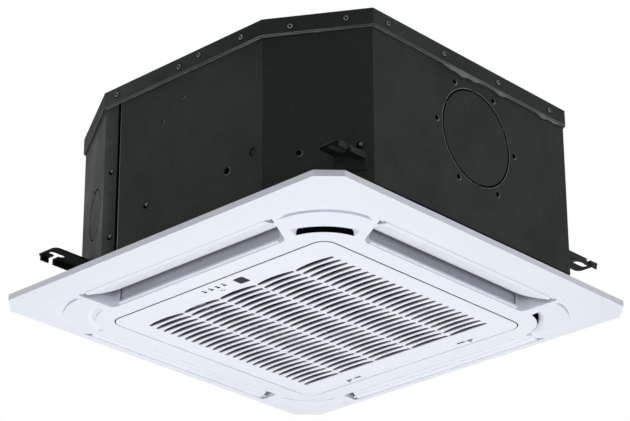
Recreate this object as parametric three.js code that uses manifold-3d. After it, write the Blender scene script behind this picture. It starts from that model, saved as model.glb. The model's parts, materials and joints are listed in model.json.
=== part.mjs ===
// Compact four-way ceiling cassette air conditioner.
// Millimetres, +Z up. The origin is the middle of the ceiling opening, on the ceiling plane:
// the panel hangs below it and the casing stands above it. -Y is the display side of the grille.
import * as THREE from 'three';
import { mergeVertices } from 'three/addons/utils/BufferGeometryUtils.js';
import Module from 'manifold-3d';

const wasm = await Module();
wasm.setup();

// ---------------------------------------------------------------- driving dimensions
const GAP = 0.3; // clearance between pieces that touch

// panel frame
const PANEL_HALF = 323.5;
const PANEL_CORNER_CUT = 28.8;
const RIM_HEIGHT = 8.8;
const FACE_DEPTH = 31.8; // ceiling plane down to the flat middle of the panel
const LIP_DEPTH = 21.3; // ceiling plane down to the outer lips of the outlets
const SKIN = 3.0;
const RIM_WALL = 4.5;
const DUCT_TOP = 18.0; // top of the outlet walls above the ceiling plane
const DUCT_WALL = 2.5;
const DUCT_FLANGE = 9.0;
const BACK_RIB = 2.0;
const BACK_RIBS_PER_SIDE = 4;
const BACK_RIB_SPAN = 250.0;

// outlets and vanes, given for one side as distances from the panel's middle
const OUTLET_IN = 239.0;
const OUTLET_OUT = 288.0;
const OUTLET_HALF_IN = 167.0;
const OUTLET_HALF_OUT = 187.0;
const OUTLET_RADIUS = 12.0;
const INNER_STRIP = 8.0; // height of the white strip above the inner lip
const LINER_HALF = 154.5;
const LINER_THICK = 7.0;
const DUCT_THROAT_OUT = 272.0; // outer edge of the duct where it meets the casing
const DUCT_THROAT_HALF = 160.0;
const VANE_AXIS_OUT = 282.4;
const VANE_AXIS_Z = -17.4;
const VANE_NOSE = 5.2;
const VANE_LENGTH = 41.5;
const VANE_TAIL = 2.0;
const VANE_CLEARANCE = 2.5;
const VANE_REST = 19.5; // degrees above level, as in use
const VANE_CORNER = 26.0;
const VANE_PIN = 2.0;
const VANE_PIN_CLEARANCE = 0.35;
const STEPPER_RADIUS = 11.0;
const STEPPER_LENGTH = 16.0;
const STEPPER_IN = 10.6; // middle of the stepper, inward of the vane's pin
const STEPPER_UP = 12.9;
const STEPPER_ARM_UP = 1.8;

// corner air slots and corner covers
const SLOT_CENTRE = 173.0;
const SLOT_RADIUS = 78.0;
const SLOT_WIDTH = 12.0;
const SLOT_FROM = 12.5; // degrees from the side directions
const SLOT_WALL_HEIGHT = 9.0;
const GUIDE_IN = 64.0; // foam guide behind each corner slot
const GUIDE_OUT = 88.0;
const GUIDE_TOP = 15.2;
const GUIDE_FROM = 7.0;
const COVER_CENTRE = 198.0;
const COVER_RADIUS = 86.0;
const COVER_THICK = 2.3;
const COVER_GAP = 0.45;
const COVER_END_MARGIN = 4.5;
const COVER_NOTCH = 2.4;
const COVER_SCREW_HOLE = 4.0;
const COVER_PAD_TOP = -16.0;

// intake grille
const GRILLE_HALF = 208.0;
const GRILLE_GAP = 1.5;
const GRILLE_RADIUS = 20.0;
const GRILLE_PLATE = 2.2;
const GRILLE_RIM_HEIGHT = 5.8;
const GRILLE_RIM_INSET = 2.5;
const GRILLE_RIM_WALL = 2.0;
const OPENING_WALL_HEIGHT = 13.8;
const BAYS = 5;
const BAY_PITCH = 71.7;
const BAY_RIB = 3.2;
const ROWS = 24;
const ROW_PITCH = 14.0;
const SLOT_OPENING = 8.2;
const SLOT_END_OPENING = 3.4;
const ROW_SAG = 1.4;
const HINGE_IN = 186.0; // hinge line, from the panel's middle towards -Y
const HINGE_ABOVE_FACE = 6.0;
const HINGE_PIN = 2.0;
const HINGE_PIN_CLEARANCE = 0.3;
const HINGE_EAR = 12.0;
const LATCH_X = 111.0;
const LATCH_WIDTH = 38.0;
const LATCH_DEPTH = 9.6;
const LATCH_IN = 198.2;
const LATCH_TRAVEL = 6.0;

// display and filter
const WINDOW_X = 33.0;
const WINDOW_Y = -186.5;
const WINDOW_SIZE = 18.0;
const DISPLAY_LEFT = -57.0;
const DISPLAY_RIGHT = 48.0;
const DISPLAY_NEAR = -200.0;
const DISPLAY_FAR = -171.5;
const DISPLAY_HEIGHT = 13.0;
const FILTER_HALF = 186.0;
const FILTER_NEAR = -167.0;
const FILTER_FAR = 186.0;
const FILTER_LIFT = 7.0;
const FILTER_THICK = 2.2;
const FILTER_BAR = 4.0;
const FILTER_CELLS = 5;

// casing and lid
const CASING_SHIFT = 6.0; // the casing sits this far towards +X and +Y of the panel
const CASING_HALF = 286.3;
const CASING_CUT_X = 130.0;
const CASING_CUT_Y = 78.0;
const CASING_BOTTOM = 25.0;
const CASING_WALL = 1.5;
const CASING_FLANGE = 14.0;
const LID_TOP = 285.2;
const LID_SHEET = 2.0;
const LID_SKIRT = 25.6;
const LID_SKIRT_WALL = 1.2;
const SEAL_THICK = 1.4;
const SEAL_SHOWS = 1.8;
const KNOCKOUT_Y = 11.7;
const KNOCKOUT_Z = 167.2;
const KNOCKOUT_RADIUS = 72.0;
const KNOCKOUT_SLIT = 1.2;
const KNOCKOUT_BRIDGE = 4.0; // degrees of sheet left at each side of a bridge
const KNOCKOUT_HOLES = 83.8;
const CHAMFER_KNOCKOUT = 38.0;
const CHAMFER_KNOCKOUT_ALONG = 93.0;
const CHAMFER_KNOCKOUT_Z = 118.7;
const PORT_X = 145.6;
const PORT_Z = 91.1;
const PORT_RADIUS = 7.0;
const SEAM_X = -120.8;
const SEAM_WIDTH = 2.6;
const SEAM_DEPTH = 0.7;

// hanger brackets: middles of the rod slots, and the plate round each
const BRACKET_RODS = [[267, -247], [-257, -270], [267, 273], [-257, 250]];
const BRACKET_PLATE_Z = 66.0;
const BRACKET_SHEET = 2.5;
const BRACKET_OUT = 18.0; // rod to the lipped edge
const BRACKET_IN = 19.0;
const BRACKET_END = 19.0; // rod to the outer end
const BRACKET_LIP = 7.0;
const BRACKET_ROOT = 22.0;
const BRACKET_SLOT_HALF = 5.0;
const BRACKET_SLOT_LENGTH = 28.0;
const BRACKET_MOUTH = 8.5;
const BRACKET_REACH = 64.0;

// air path inside the casing
const PAN_BOTTOM = 27.0;
const PAN_TOP = 80.5;
const PAN_BORE = 158.0;
const PAN_HALF = 237.0;
const PAN_CORNER = 70.0;
const PAN_CLEARANCE = 0.5;
const TROUGH_FLOOR = 58.0;
const INSULATION_THICK = 10.0;
const INSULATION_TOP = 270.0;
const COIL_HALF = 207.0;
const COIL_CORNER = 55.0;
const COIL_THICK = 30.0;
const COIL_TOP = 248.0;
const COIL_END = 140.0; // where the two legs stop, short of the open corner
const FIN_PITCH = 34.0;
const FIN_NOTCH = 9.0;
const FIN_DEPTH = 2.0;
const BELL_THROAT = 142.5;
const BELL_FLARE = 172.0;
const BELL_WALL = 2.0;
const BELL_TOP = 78.0;
const FAN_RADIUS = 162.0;
const FAN_BLADES = 7;
const FAN_SHEET = 2.6;
const FAN_BACK = 205.0; // height of the fan's back plate
const FAN_INLET_Z = 72.0;
const FAN_INLET = 147.0;
const HUB_FLOOR = 128.0;
const SHAFT_RADIUS = 5.0;
const MOTOR_RADIUS = 48.0;
const MOTOR_BOTTOM = 152.0;
const MOTOR_TOP = 256.0;
const BOX_OUT = 222.0;
const BOX_WIDTH = 47.0;
const BOX_HALF_LENGTH = 140.0;
const BOX_DEPTH = 37.0;
const BOX_SHEET = 1.5;
const PUMP_AT = [-192, 192];
const PUMP_RADIUS = 26.0;
const FLOAT_AT = [-238, 150];
const STUB_OUT = 36.0; // how far the pipe stubs stand out of the casing

// ---------------------------------------------------------------- finishes
function finish(color, roughness, metalness = 0) {
  return new THREE.MeshStandardMaterial({ color, roughness, metalness });
}
const PANEL_WHITE = finish(0xe6eaf3, 0.42);
const VANE_WHITE = finish(0xeef1f8, 0.38);
const GRILLE_WHITE = finish(0xe9edf5, 0.42);
const CASING_BLACK = finish(0x2b302e, 0.55, 0.35);
const BRACKET_BLACK = finish(0x161918, 0.5, 0.4);
const SEAL_GREY = finish(0x9ba3a0, 0.85);
const LINER_GREY = finish(0x7d828b, 0.8);
const FOAM_BLACK = finish(0x26282a, 0.95);
const PAN_FOAM = finish(0xdfe1e0, 0.9);
const FIN_METAL = finish(0xb9c0c4, 0.4, 0.9);
const COPPER = finish(0xb87040, 0.35, 0.9);
const FAN_PLASTIC = finish(0x3a3d40, 0.5);
const MOTOR_STEEL = finish(0x8d9296, 0.4, 0.8);
const BOX_STEEL = finish(0xb4b8ba, 0.45, 0.8);
const DARK_GLASS = finish(0x14171d, 0.12);
const FILTER_GREY = finish(0x3c4046, 0.7);

// ---------------------------------------------------------------- solids
const { Manifold } = wasm;
const rad = THREE.MathUtils.degToRad;

function solid(geometry) {
  const bare = geometry.index ? geometry.toNonIndexed() : geometry.clone();
  bare.deleteAttribute('normal');
  bare.deleteAttribute('uv');
  const merged = mergeVertices(bare, 1e-5);
  return new Manifold(new wasm.Mesh({
    numProp: 3,
    vertProperties: new Float32Array(merged.attributes.position.array),
    triVerts: new Uint32Array(merged.index.array),
  }));
}

function geometryOf(body) {
  const mesh = body.getMesh();
  const geometry = new THREE.BufferGeometry();
  geometry.setAttribute('position', new THREE.BufferAttribute(new Float32Array(mesh.vertProperties), 3));
  geometry.setIndex(new THREE.BufferAttribute(new Uint32Array(mesh.triVerts), 1));
  geometry.computeVertexNormals();
  return geometry;
}

function join(...bodies) {
  return bodies.flat().reduce((all, body) => all.add(body));
}

function cut(body, ...tools) {
  return tools.flat().reduce((left, tool) => left.subtract(tool), body);
}

function point(x, y) {
  return new THREE.Vector2(x, y);
}

function prism(outline, low, high, holes = []) {
  const shape = new THREE.Shape(outline);
  shape.holes = holes.map((hole) => new THREE.Path(hole));
  const geometry = new THREE.ExtrudeGeometry(shape, { depth: high - low, bevelEnabled: false });
  return solid(geometry.translate(0, 0, low));
}

function block(x0, x1, y0, y1, z0, z1) {
  const geometry = new THREE.BoxGeometry(x1 - x0, y1 - y0, z1 - z0);
  return solid(geometry.translate((x0 + x1) / 2, (y0 + y1) / 2, (z0 + z1) / 2));
}

// a round bar along Z
function bar(x, y, radius, z0, z1, sides = 24) {
  const geometry = new THREE.CylinderGeometry(radius, radius, z1 - z0, sides);
  return solid(geometry.rotateX(Math.PI / 2).translate(x, y, (z0 + z1) / 2));
}

// a round bar along X
function crossBar(x0, x1, y, z, radius, sides = 16) {
  const geometry = new THREE.CylinderGeometry(radius, radius, x1 - x0, sides);
  return solid(geometry.rotateZ(Math.PI / 2).translate((x0 + x1) / 2, y, z));
}

function revolve(profile, sides) {
  const closed = profile.map(([r, z]) => point(r, z));
  closed.push(closed[0].clone());
  const geometry = new THREE.LatheGeometry(closed, sides).rotateX(Math.PI / 2);
  const body = solid(geometry);
  return body.volume() < 0 ? solid(geometry.scale(1, 1, -1).rotateX(Math.PI)) : body;
}

function pipe(points, radius, sides = 12, steps = 24, tension = 0.2) {
  const route = new THREE.CatmullRomCurve3(points.map((p) => new THREE.Vector3(...p)), false,
    'catmullrom', tension);
  const section = [];
  for (let i = 0; i < sides; i += 1) {
    const a = (i / sides) * 2 * Math.PI;
    section.push(point(radius * Math.cos(a), radius * Math.sin(a)));
  }
  return solid(new THREE.ExtrudeGeometry(new THREE.Shape(section), { steps, extrudePath: route }));
}

function turned(body, degrees) {
  return body.rotate([0, 0, degrees]);
}

// the same piece on the -Y, +X, +Y and -X sides
function onFourSides(body) {
  return [0, 90, 180, 270].map((angle) => turned(body, angle));
}

// ---------------------------------------------------------------- outlines
function arc(cx, cy, radius, from, to, steps) {
  const points = [];
  for (let i = 0; i <= steps; i += 1) {
    const a = rad(from + ((to - from) * i) / steps);
    points.push(point(cx + radius * Math.cos(a), cy + radius * Math.sin(a)));
  }
  return points;
}

function rectangle(x0, x1, y0, y1) {
  return [point(x0, y0), point(x1, y0), point(x1, y1), point(x0, y1)];
}

// moves every edge of a convex outline outwards by distance
function grown(outline, distance) {
  return outline.map((here, i) => {
    const before = outline[(i + outline.length - 1) % outline.length];
    const after = outline[(i + 1) % outline.length];
    const d1 = here.clone().sub(before).normalize();
    const d2 = after.clone().sub(here).normalize();
    const n1 = point(d1.y, -d1.x);
    const n2 = point(d2.y, -d2.x);
    const middle = n1.clone().add(n2);
    return here.clone().add(middle.multiplyScalar((2 * distance) / middle.lengthSq()));
  });
}

// rounds the corners of an outline; radii holds one radius for each corner
function rounded(outline, radii, steps = 4) {
  return outline.flatMap((here, i) => {
    const radius = radii[i % radii.length];
    if (radius === 0) return [here];
    const before = outline[(i + outline.length - 1) % outline.length];
    const after = outline[(i + 1) % outline.length];
    const back = before.clone().sub(here).normalize();
    const ahead = after.clone().sub(here).normalize();
    const half = Math.acos(THREE.MathUtils.clamp(back.dot(ahead), -1, 1)) / 2;
    const centre = here.clone().add(back.clone().add(ahead).normalize()
      .multiplyScalar(radius / Math.sin(half)));
    const start = here.clone().add(back.multiplyScalar(radius / Math.tan(half))).sub(centre);
    const end = here.clone().add(ahead.multiplyScalar(radius / Math.tan(half))).sub(centre);
    const sweep = Math.atan2(start.cross(end), start.dot(end));
    const corner = [];
    for (let s = 0; s <= steps; s += 1) {
      corner.push(start.clone().rotateAround(point(0, 0), (sweep * s) / steps).add(centre));
    }
    return corner;
  });
}

function roundedSquare(half, radius, steps = 5) {
  return rounded(rectangle(-half, half, -half, half), [radius], steps);
}

// the outlet's opening on the -Y side, grown outwards by margin
function outletOutline(margin) {
  const corners = [
    point(-OUTLET_HALF_OUT, -OUTLET_OUT), point(OUTLET_HALF_OUT, -OUTLET_OUT),
    point(OUTLET_HALF_IN, -OUTLET_IN), point(-OUTLET_HALF_IN, -OUTLET_IN),
  ];
  const radius = OUTLET_RADIUS + margin;
  return rounded(grown(corners, margin), [0, 0, radius, radius]);
}

function casingOutline(margin) {
  const low = CASING_SHIFT - CASING_HALF;
  const high = CASING_SHIFT + CASING_HALF;
  const corners = [
    point(low + CASING_CUT_X, low), point(high - CASING_CUT_X, low),
    point(high, low + CASING_CUT_Y), point(high, high - CASING_CUT_Y),
    point(high - CASING_CUT_X, high), point(low + CASING_CUT_X, high),
    point(low, high - CASING_CUT_Y), point(low, low + CASING_CUT_Y),
  ];
  return grown(corners, margin);
}

// an annular sector about (cx, cy)
function ringSector(cx, cy, inner, outer, from, to, steps) {
  return [...arc(cx, cy, outer, from, to, steps), ...arc(cx, cy, inner, to, from, steps)];
}

// a corner cover's outline in the +X +Y corner
function coverOutline(margin) {
  const inner = SLOT_RADIUS + SLOT_WIDTH / 2 + 2.6 - margin;
  const edge = COVER_CENTRE + COVER_RADIUS + margin;
  const slope = (OUTLET_HALF_OUT - OUTLET_HALF_IN) / (OUTLET_OUT - OUTLET_IN);
  const side = OUTLET_HALF_IN + (edge - OUTLET_IN) * slope + COVER_END_MARGIN - margin;
  const trim = 5.6 - margin * 0.6;
  return [
    ...arc(SLOT_CENTRE, SLOT_CENTRE, inner, 90 - trim, trim, 5),
    point(edge, side),
    ...arc(COVER_CENTRE, COVER_CENTRE, COVER_RADIUS + margin, 0, 90, 6),
    point(side, edge),
  ].reverse();
}

// ---------------------------------------------------------------- panel surface
// One level line of the panel: a square of the given half width whose corners are arcs
// about (centre, centre), or straight cuts when cornerCut is set.
function levelLine(half, centre, z, cornerCut = 0) {
  const steps = 4;
  const line = [];
  for (let corner = 0; corner < 4; corner += 1) {
    for (let i = 0; i <= steps; i += 1) {
      const t = i / steps;
      const a = (t * Math.PI) / 2;
      const onArc = point(centre + (half - centre) * Math.cos(a), centre + (half - centre) * Math.sin(a));
      const onCut = point(half - t * cornerCut, half - (1 - t) * cornerCut);
      const p = (cornerCut > 0 ? onCut : onArc).rotateAround(point(0, 0), (corner * Math.PI) / 2);
      line.push(new THREE.Vector3(p.x, p.y, z));
    }
  }
  return line;
}

function loft(lines) {
  const count = lines[0].length;
  const positions = lines.flat().flatMap((p) => [p.x, p.y, p.z]);
  const index = [];
  for (let k = 0; k + 1 < lines.length; k += 1) {
    for (let i = 0; i < count; i += 1) {
      const j = (i + 1) % count;
      const [a, b, c, d] = [k * count + i, k * count + j, (k + 1) * count + j, (k + 1) * count + i];
      index.push(a, b, c, a, c, d);
    }
  }
  const top = (lines.length - 1) * count;
  for (let i = 1; i + 1 < count; i += 1) {
    index.push(0, i + 1, i, top, top + i, top + i + 1);
  }
  const geometry = new THREE.BufferGeometry();
  geometry.setAttribute('position', new THREE.Float32BufferAttribute(positions, 3));
  geometry.setIndex(index);
  return solid(geometry);
}

// everything above the panel's lower surface, raised by lift and drawn in by wall at the rim
function abovePanel(lift, wall, top) {
  const rimSlope = (LIP_DEPTH - RIM_HEIGHT) / (PANEL_HALF - OUTLET_OUT);
  const cutInset = wall * Math.SQRT2 * (Math.SQRT2 - 1);
  const cornerCut = PANEL_CORNER_CUT - cutInset;
  return loft([
    levelLine(OUTLET_IN, SLOT_CENTRE, lift - FACE_DEPTH),
    levelLine(OUTLET_OUT, 196, lift - LIP_DEPTH),
    levelLine(PANEL_HALF - wall, 0, lift - RIM_HEIGHT - wall * rimSlope, cornerCut),
    levelLine(PANEL_HALF - wall, 0, top, cornerCut),
  ]);
}

const TALL = 60;

// ---------------------------------------------------------------- panel frame
function outletWalls() {
  const bore = prism(outletOutline(0), -50, DUCT_TOP + 1);
  const tube = cut(prism(outletOutline(DUCT_WALL), -FACE_DEPTH, DUCT_TOP), bore);
  const throat = rectangle(-DUCT_THROAT_HALF, DUCT_THROAT_HALF, -DUCT_THROAT_OUT, -OUTLET_IN + 20);
  const flange = prism(outletOutline(DUCT_FLANGE), DUCT_TOP - DUCT_WALL, DUCT_TOP);
  const flangeRing = cut(flange, prism(throat, -50, DUCT_TOP + 1));
  const linerSpace = block(-LINER_HALF - GAP, LINER_HALF + GAP, -OUTLET_IN - 0.01, -OUTLET_IN + 30,
    INNER_STRIP - FACE_DEPTH, DUCT_TOP + 1);
  const pinHole = crossBar(-OUTLET_HALF_OUT - 6, OUTLET_HALF_OUT + 6, -VANE_AXIS_OUT, VANE_AXIS_Z,
    VANE_PIN + VANE_PIN_CLEARANCE);
  return { walls: cut(join(tube, flangeRing), linerSpace), bore, pinHole, linerSpace };
}

function cornerSlotCut() {
  const outline = ringSector(SLOT_CENTRE, SLOT_CENTRE, SLOT_RADIUS - SLOT_WIDTH / 2,
    SLOT_RADIUS + SLOT_WIDTH / 2, SLOT_FROM, 90 - SLOT_FROM, 6);
  return prism(outline, -50, TALL);
}

function cornerSlotWall() {
  const outer = SLOT_RADIUS + SLOT_WIDTH / 2;
  const outline = ringSector(SLOT_CENTRE, SLOT_CENTRE, outer, outer + 2, SLOT_FROM - 1,
    91 - SLOT_FROM, 6);
  return prism(outline, -FACE_DEPTH, -LIP_DEPTH + SLOT_WALL_HEIGHT);
}

// the foam that leads air to a corner slot
function cornerGuide() {
  const steps = 6;
  const body = prism(ringSector(SLOT_CENTRE, SLOT_CENTRE, GUIDE_IN, GUIDE_OUT, GUIDE_FROM, 90 - GUIDE_FROM,
    steps), -FACE_DEPTH, GUIDE_TOP);
  const step = prism(ringSector(SLOT_CENTRE, SLOT_CENTRE, SLOT_RADIUS + SLOT_WIDTH / 2 - 2, GUIDE_OUT + 9,
    -5, 95, steps), -50, SLOT_WALL_HEIGHT - LIP_DEPTH + GAP);
  return cut(body.intersect(abovePanel(SKIN + GAP, RIM_WALL, TALL)), cornerSlotCut(), step);
}

function coverNotch() {
  const reach = (COVER_CENTRE + (COVER_RADIUS + 0.6) * Math.SQRT1_2);
  return bar(reach, reach, COVER_NOTCH, -50, 10, 8);
}

function backRibs() {
  const ribs = [];
  for (let i = 0; i < BACK_RIBS_PER_SIDE; i += 1) {
    const x = BACK_RIB_SPAN * ((2 * i) / (BACK_RIBS_PER_SIDE - 1) - 1);
    ribs.push(block(x - BACK_RIB / 2, x + BACK_RIB / 2, -PANEL_HALF + 2,
      -OUTLET_OUT - DUCT_WALL + 0.5, -FACE_DEPTH, -2));
  }
  return ribs;
}

function hingeBoss(side) {
  const wall = GRILLE_HALF + GRILLE_GAP;
  const x0 = side > 0 ? wall + 0.5 : -wall - 6;
  return crossBar(x0, x0 + 5.5, -HINGE_IN, HINGE_ABOVE_FACE - FACE_DEPTH, 5.2, 20);
}

function panelFrame() {
  const opening = roundedSquare(GRILLE_HALF + GRILLE_GAP, GRILLE_RADIUS + GRILLE_GAP);
  const collar = roundedSquare(GRILLE_HALF + GRILLE_GAP + DUCT_WALL, GRILLE_RADIUS + GRILLE_GAP + DUCT_WALL);
  const below = abovePanel(0, 0, TALL);
  const skin = cut(abovePanel(0, 0, 0), abovePanel(SKIN, RIM_WALL, TALL));
  const { walls, bore, pinHole } = outletWalls();
  const padOutline = coverOutline(3);
  const pad = prism(padOutline, -FACE_DEPTH, COVER_PAD_TOP);
  const recess = cut(prism(coverOutline(COVER_GAP), -60, 20), abovePanel(COVER_THICK + GAP, 0, TALL));
  const screwHole = bar(238, 238, COVER_SCREW_HOLE, -50, 10, 10);
  const extras = join(
    onFourSides(walls),
    onFourSides(pad),
    onFourSides(cornerSlotWall()),
    prism(collar, -FACE_DEPTH, OPENING_WALL_HEIGHT - FACE_DEPTH),
    onFourSides(join(backRibs())),
    hingeBoss(1),
    hingeBoss(-1),
  );
  const hingeHoles = crossBar(-PANEL_HALF, PANEL_HALF, -HINGE_IN, HINGE_ABOVE_FACE - FACE_DEPTH,
    HINGE_PIN + HINGE_PIN_CLEARANCE);
  const hingeBores = hingeHoles.intersect(block(-GRILLE_HALF - 9, GRILLE_HALF + 9, -PANEL_HALF, 0, -50, 10));
  return cut(
    join(skin, extras.intersect(below)),
    prism(opening, -60, TALL),
    onFourSides(bore),
    onFourSides(pinHole),
    onFourSides(cornerSlotCut()),
    onFourSides(recess),
    onFourSides(screwHole),
    hingeBores,
  );
}

function cornerCover() {
  const plate = prism(coverOutline(0), -60, 20).intersect(abovePanel(0, 0, TALL));
  return cut(plate, abovePanel(COVER_THICK, 0, TALL), coverNotch());
}

function ductLiner() {
  const face = OUTLET_IN - DUCT_WALL - GAP;
  return block(-LINER_HALF, LINER_HALF, -face, -face + LINER_THICK, SKIN + GAP - FACE_DEPTH, DUCT_TOP);
}

// ---------------------------------------------------------------- vanes
// the vane's section, pivot at the origin, tail along +X; X is inward and Y is up
function vaneSection() {
  const nose = arc(0, 0, VANE_NOSE, 90, 270, 7);
  const under = point(VANE_LENGTH, -VANE_NOSE);
  const over = point(VANE_LENGTH, -VANE_NOSE + VANE_TAIL);
  const crown = [point(24, -1.0), point(10, 3.4)];
  return [...nose, under, over, ...crown];
}

function vane() {
  const angle = THREE.MathUtils.degToRad(VANE_REST);
  const tall = 2 * (OUTLET_HALF_OUT + 10);
  const section = new THREE.ExtrudeGeometry(new THREE.Shape(vaneSection()), { depth: tall, bevelEnabled: false });
  const strip = solid(section.translate(0, 0, -tall / 2));
  const slope = (OUTLET_HALF_OUT - OUTLET_HALF_IN) / (OUTLET_OUT - OUTLET_IN);
  const halfAt = (u) => OUTLET_HALF_IN + (VANE_AXIS_OUT - u - OUTLET_IN) * slope - VANE_CLEARANCE;
  const ends = rounded([
    point(-VANE_NOSE - 1, -halfAt(0)), point(0, -halfAt(0)), point(VANE_LENGTH, -halfAt(VANE_LENGTH)),
    point(VANE_LENGTH, halfAt(VANE_LENGTH)), point(0, halfAt(0)), point(-VANE_NOSE - 1, halfAt(0)),
  ], [0, 0, VANE_CORNER, VANE_CORNER, 0, 0], 5);
  const outline = prism(ends, -20, 20).rotate([90, 0, 0]);
  const pin = bar(0, 0, VANE_PIN, -OUTLET_HALF_OUT - 1.4, OUTLET_HALF_OUT + 1.4, 14);
  // local X is inward, local Y is up and local Z runs along the outlet
  const trimmed = strip.intersect(outline);
  return join(trimmed, pin)
    .rotate([0, 0, THREE.MathUtils.radToDeg(angle)])
    .rotate([90, 0, 0])
    .rotate([0, 0, 90])
    .translate([0, -VANE_AXIS_OUT, VANE_AXIS_Z]);
}

function louverStepper() {
  const x0 = OUTLET_HALF_OUT + DUCT_WALL + 1.2;
  const y = -VANE_AXIS_OUT + STEPPER_IN;
  const z = VANE_AXIS_Z + STEPPER_UP;
  const can = crossBar(x0, x0 + STEPPER_LENGTH, y, z, STEPPER_RADIUS, 20);
  const arm = block(x0, x0 + 6, -VANE_AXIS_OUT - 3, y + 4, VANE_AXIS_Z + STEPPER_ARM_UP, z);
  return join(can, arm).intersect(abovePanel(SKIN + COVER_THICK + GAP, RIM_WALL + GAP, TALL));
}

// ---------------------------------------------------------------- intake grille
// one slot: straight far edge, near edge bowed towards -Y
function slotOutline(xMid, yMid) {
  const half = (BAY_PITCH - BAY_RIB) / 2;
  const near = (t) => yMid - SLOT_OPENING / 2 + (SLOT_OPENING - SLOT_END_OPENING) * t * t;
  const bow = [-1, -0.45, 0.45, 1].map((t) => point(xMid + t * half, near(t)));
  return [...bow, point(xMid + half, yMid + SLOT_OPENING / 2), point(xMid - half, yMid + SLOT_OPENING / 2)];
}

function slotField() {
  const slots = [];
  for (let row = 0; row < ROWS; row += 1) {
    for (let bay = 0; bay < BAYS; bay += 1) {
      const x = (bay - (BAYS - 1) / 2) * BAY_PITCH;
      const y = (row - (ROWS - 1) / 2) * ROW_PITCH;
      const sag = ROW_SAG * (1 - (x / (2 * BAY_PITCH)) ** 2);
      slots.push(slotOutline(x, y - sag + ROW_SAG / 2));
    }
  }
  return slots;
}

function latchWindow(x, margin) {
  return rectangle(x - LATCH_WIDTH / 2 - margin, x + LATCH_WIDTH / 2 + margin,
    LATCH_IN - LATCH_DEPTH / 2 - margin, LATCH_IN + LATCH_DEPTH / 2 + margin);
}

function windowOutline(margin) {
  const half = WINDOW_SIZE / 2 + margin;
  return rounded(rectangle(WINDOW_X - half, WINDOW_X + half, WINDOW_Y - half, WINDOW_Y + half), [2.4], 3);
}

function intakeGrille() {
  const low = -FACE_DEPTH;
  const back = low + GRILLE_PLATE;
  const holes = [...slotField(), windowOutline(GAP), latchWindow(-LATCH_X, 0), latchWindow(LATCH_X, 0)]
    .map((outline) => prism(outline, low - 1, back + 1));
  const plate = cut(prism(roundedSquare(GRILLE_HALF, GRILLE_RADIUS), low, back), join(holes));
  const outer = roundedSquare(GRILLE_HALF - GRILLE_RIM_INSET, GRILLE_RADIUS - GRILLE_RIM_INSET);
  const inset = GRILLE_RIM_INSET + GRILLE_RIM_WALL;
  const inner = roundedSquare(GRILLE_HALF - inset, GRILLE_RADIUS - inset);
  const rim = prism(outer, back - 0.5, back + GRILLE_RIM_HEIGHT, [inner]);
  const latchGates = [-LATCH_X, LATCH_X].map((x) => block(x - LATCH_WIDTH / 2 - 3, x + LATCH_WIDTH / 2 + 3,
    GRILLE_HALF - inset - 1, GRILLE_HALF, back + GAP, back + 20));
  const hingeZ = HINGE_ABOVE_FACE - FACE_DEPTH;
  const ears = [-1, 1].map((side) => {
    const x = side * (GRILLE_HALF - inset + GRILLE_RIM_WALL / 2);
    return block(x - GRILLE_RIM_WALL / 2, x + GRILLE_RIM_WALL / 2, -HINGE_IN - HINGE_EAR / 2,
      -HINGE_IN + HINGE_EAR / 2, back - 0.5, hingeZ + 5);
  });
  const pins = [-1, 1].map((side) => {
    const root = GRILLE_HALF - inset + 1;
    const tip = GRILLE_HALF + GRILLE_GAP + 3.4;
    return side > 0 ? crossBar(root, tip, -HINGE_IN, hingeZ, HINGE_PIN)
      : crossBar(-tip, -root, -HINGE_IN, hingeZ, HINGE_PIN);
  });
  const posts = [-1, 1].flatMap((sx) => [FILTER_NEAR + 8, FILTER_FAR - 8].map((y) => (
    bar(sx * (FILTER_HALF - 1.8), y, 3, back - 0.5, low + FILTER_LIFT + GRILLE_PLATE - GAP, 12))));
  return join(plate, cut(rim, latchGates), ears, pins, posts);
}

function airFilter() {
  const low = FILTER_LIFT + GRILLE_PLATE - FACE_DEPTH;
  const holes = [];
  const cellX = (2 * FILTER_HALF - FILTER_BAR * 2) / FILTER_CELLS;
  const cellY = (FILTER_FAR - FILTER_NEAR - FILTER_BAR * 2) / FILTER_CELLS;
  const half = FILTER_BAR / 4;
  for (let i = 0; i < FILTER_CELLS; i += 1) {
    for (let j = 0; j < FILTER_CELLS; j += 1) {
      const x = -FILTER_HALF + FILTER_BAR + i * cellX;
      const y = FILTER_NEAR + FILTER_BAR + j * cellY;
      holes.push(block(x + half, x + cellX - half, y + half, y + cellY - half, low - 1, low + FILTER_THICK + 1));
    }
  }
  return cut(block(-FILTER_HALF, FILTER_HALF, FILTER_NEAR, FILTER_FAR, low, low + FILTER_THICK), join(holes));
}

function latch(x) {
  const low = -FACE_DEPTH;
  const back = low + GRILLE_PLATE;
  const tongueEnd = GRILLE_HALF + GRILLE_GAP - 0.4;
  const knobHalf = LATCH_WIDTH / 2 - 1;
  const y0 = LATCH_IN - LATCH_DEPTH / 2 + LATCH_TRAVEL + GAP;
  const knob = block(x - knobHalf, x + knobHalf, y0, LATCH_IN + LATCH_DEPTH / 2 - GAP, low + 0.6, back + 1);
  const base = block(x - LATCH_WIDTH / 2 - 2, x + LATCH_WIDTH / 2 + 2,
    LATCH_IN - LATCH_DEPTH / 2 - 3, GRILLE_HALF - GRILLE_RIM_INSET - GRILLE_RIM_WALL - 0.6,
    back + GAP, back + 2.6);
  const tongue = block(x - 9, x + 9, GRILLE_HALF - 12, tongueEnd, back + GAP, back + 2.6);
  return join(knob, base, tongue);
}

function displayModule() {
  const low = GRILLE_PLATE + GAP - FACE_DEPTH;
  const outline = rounded(rectangle(DISPLAY_LEFT, DISPLAY_RIGHT, DISPLAY_NEAR, DISPLAY_FAR), [3], 3);
  return prism(outline, low, low + DISPLAY_HEIGHT);
}

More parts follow.
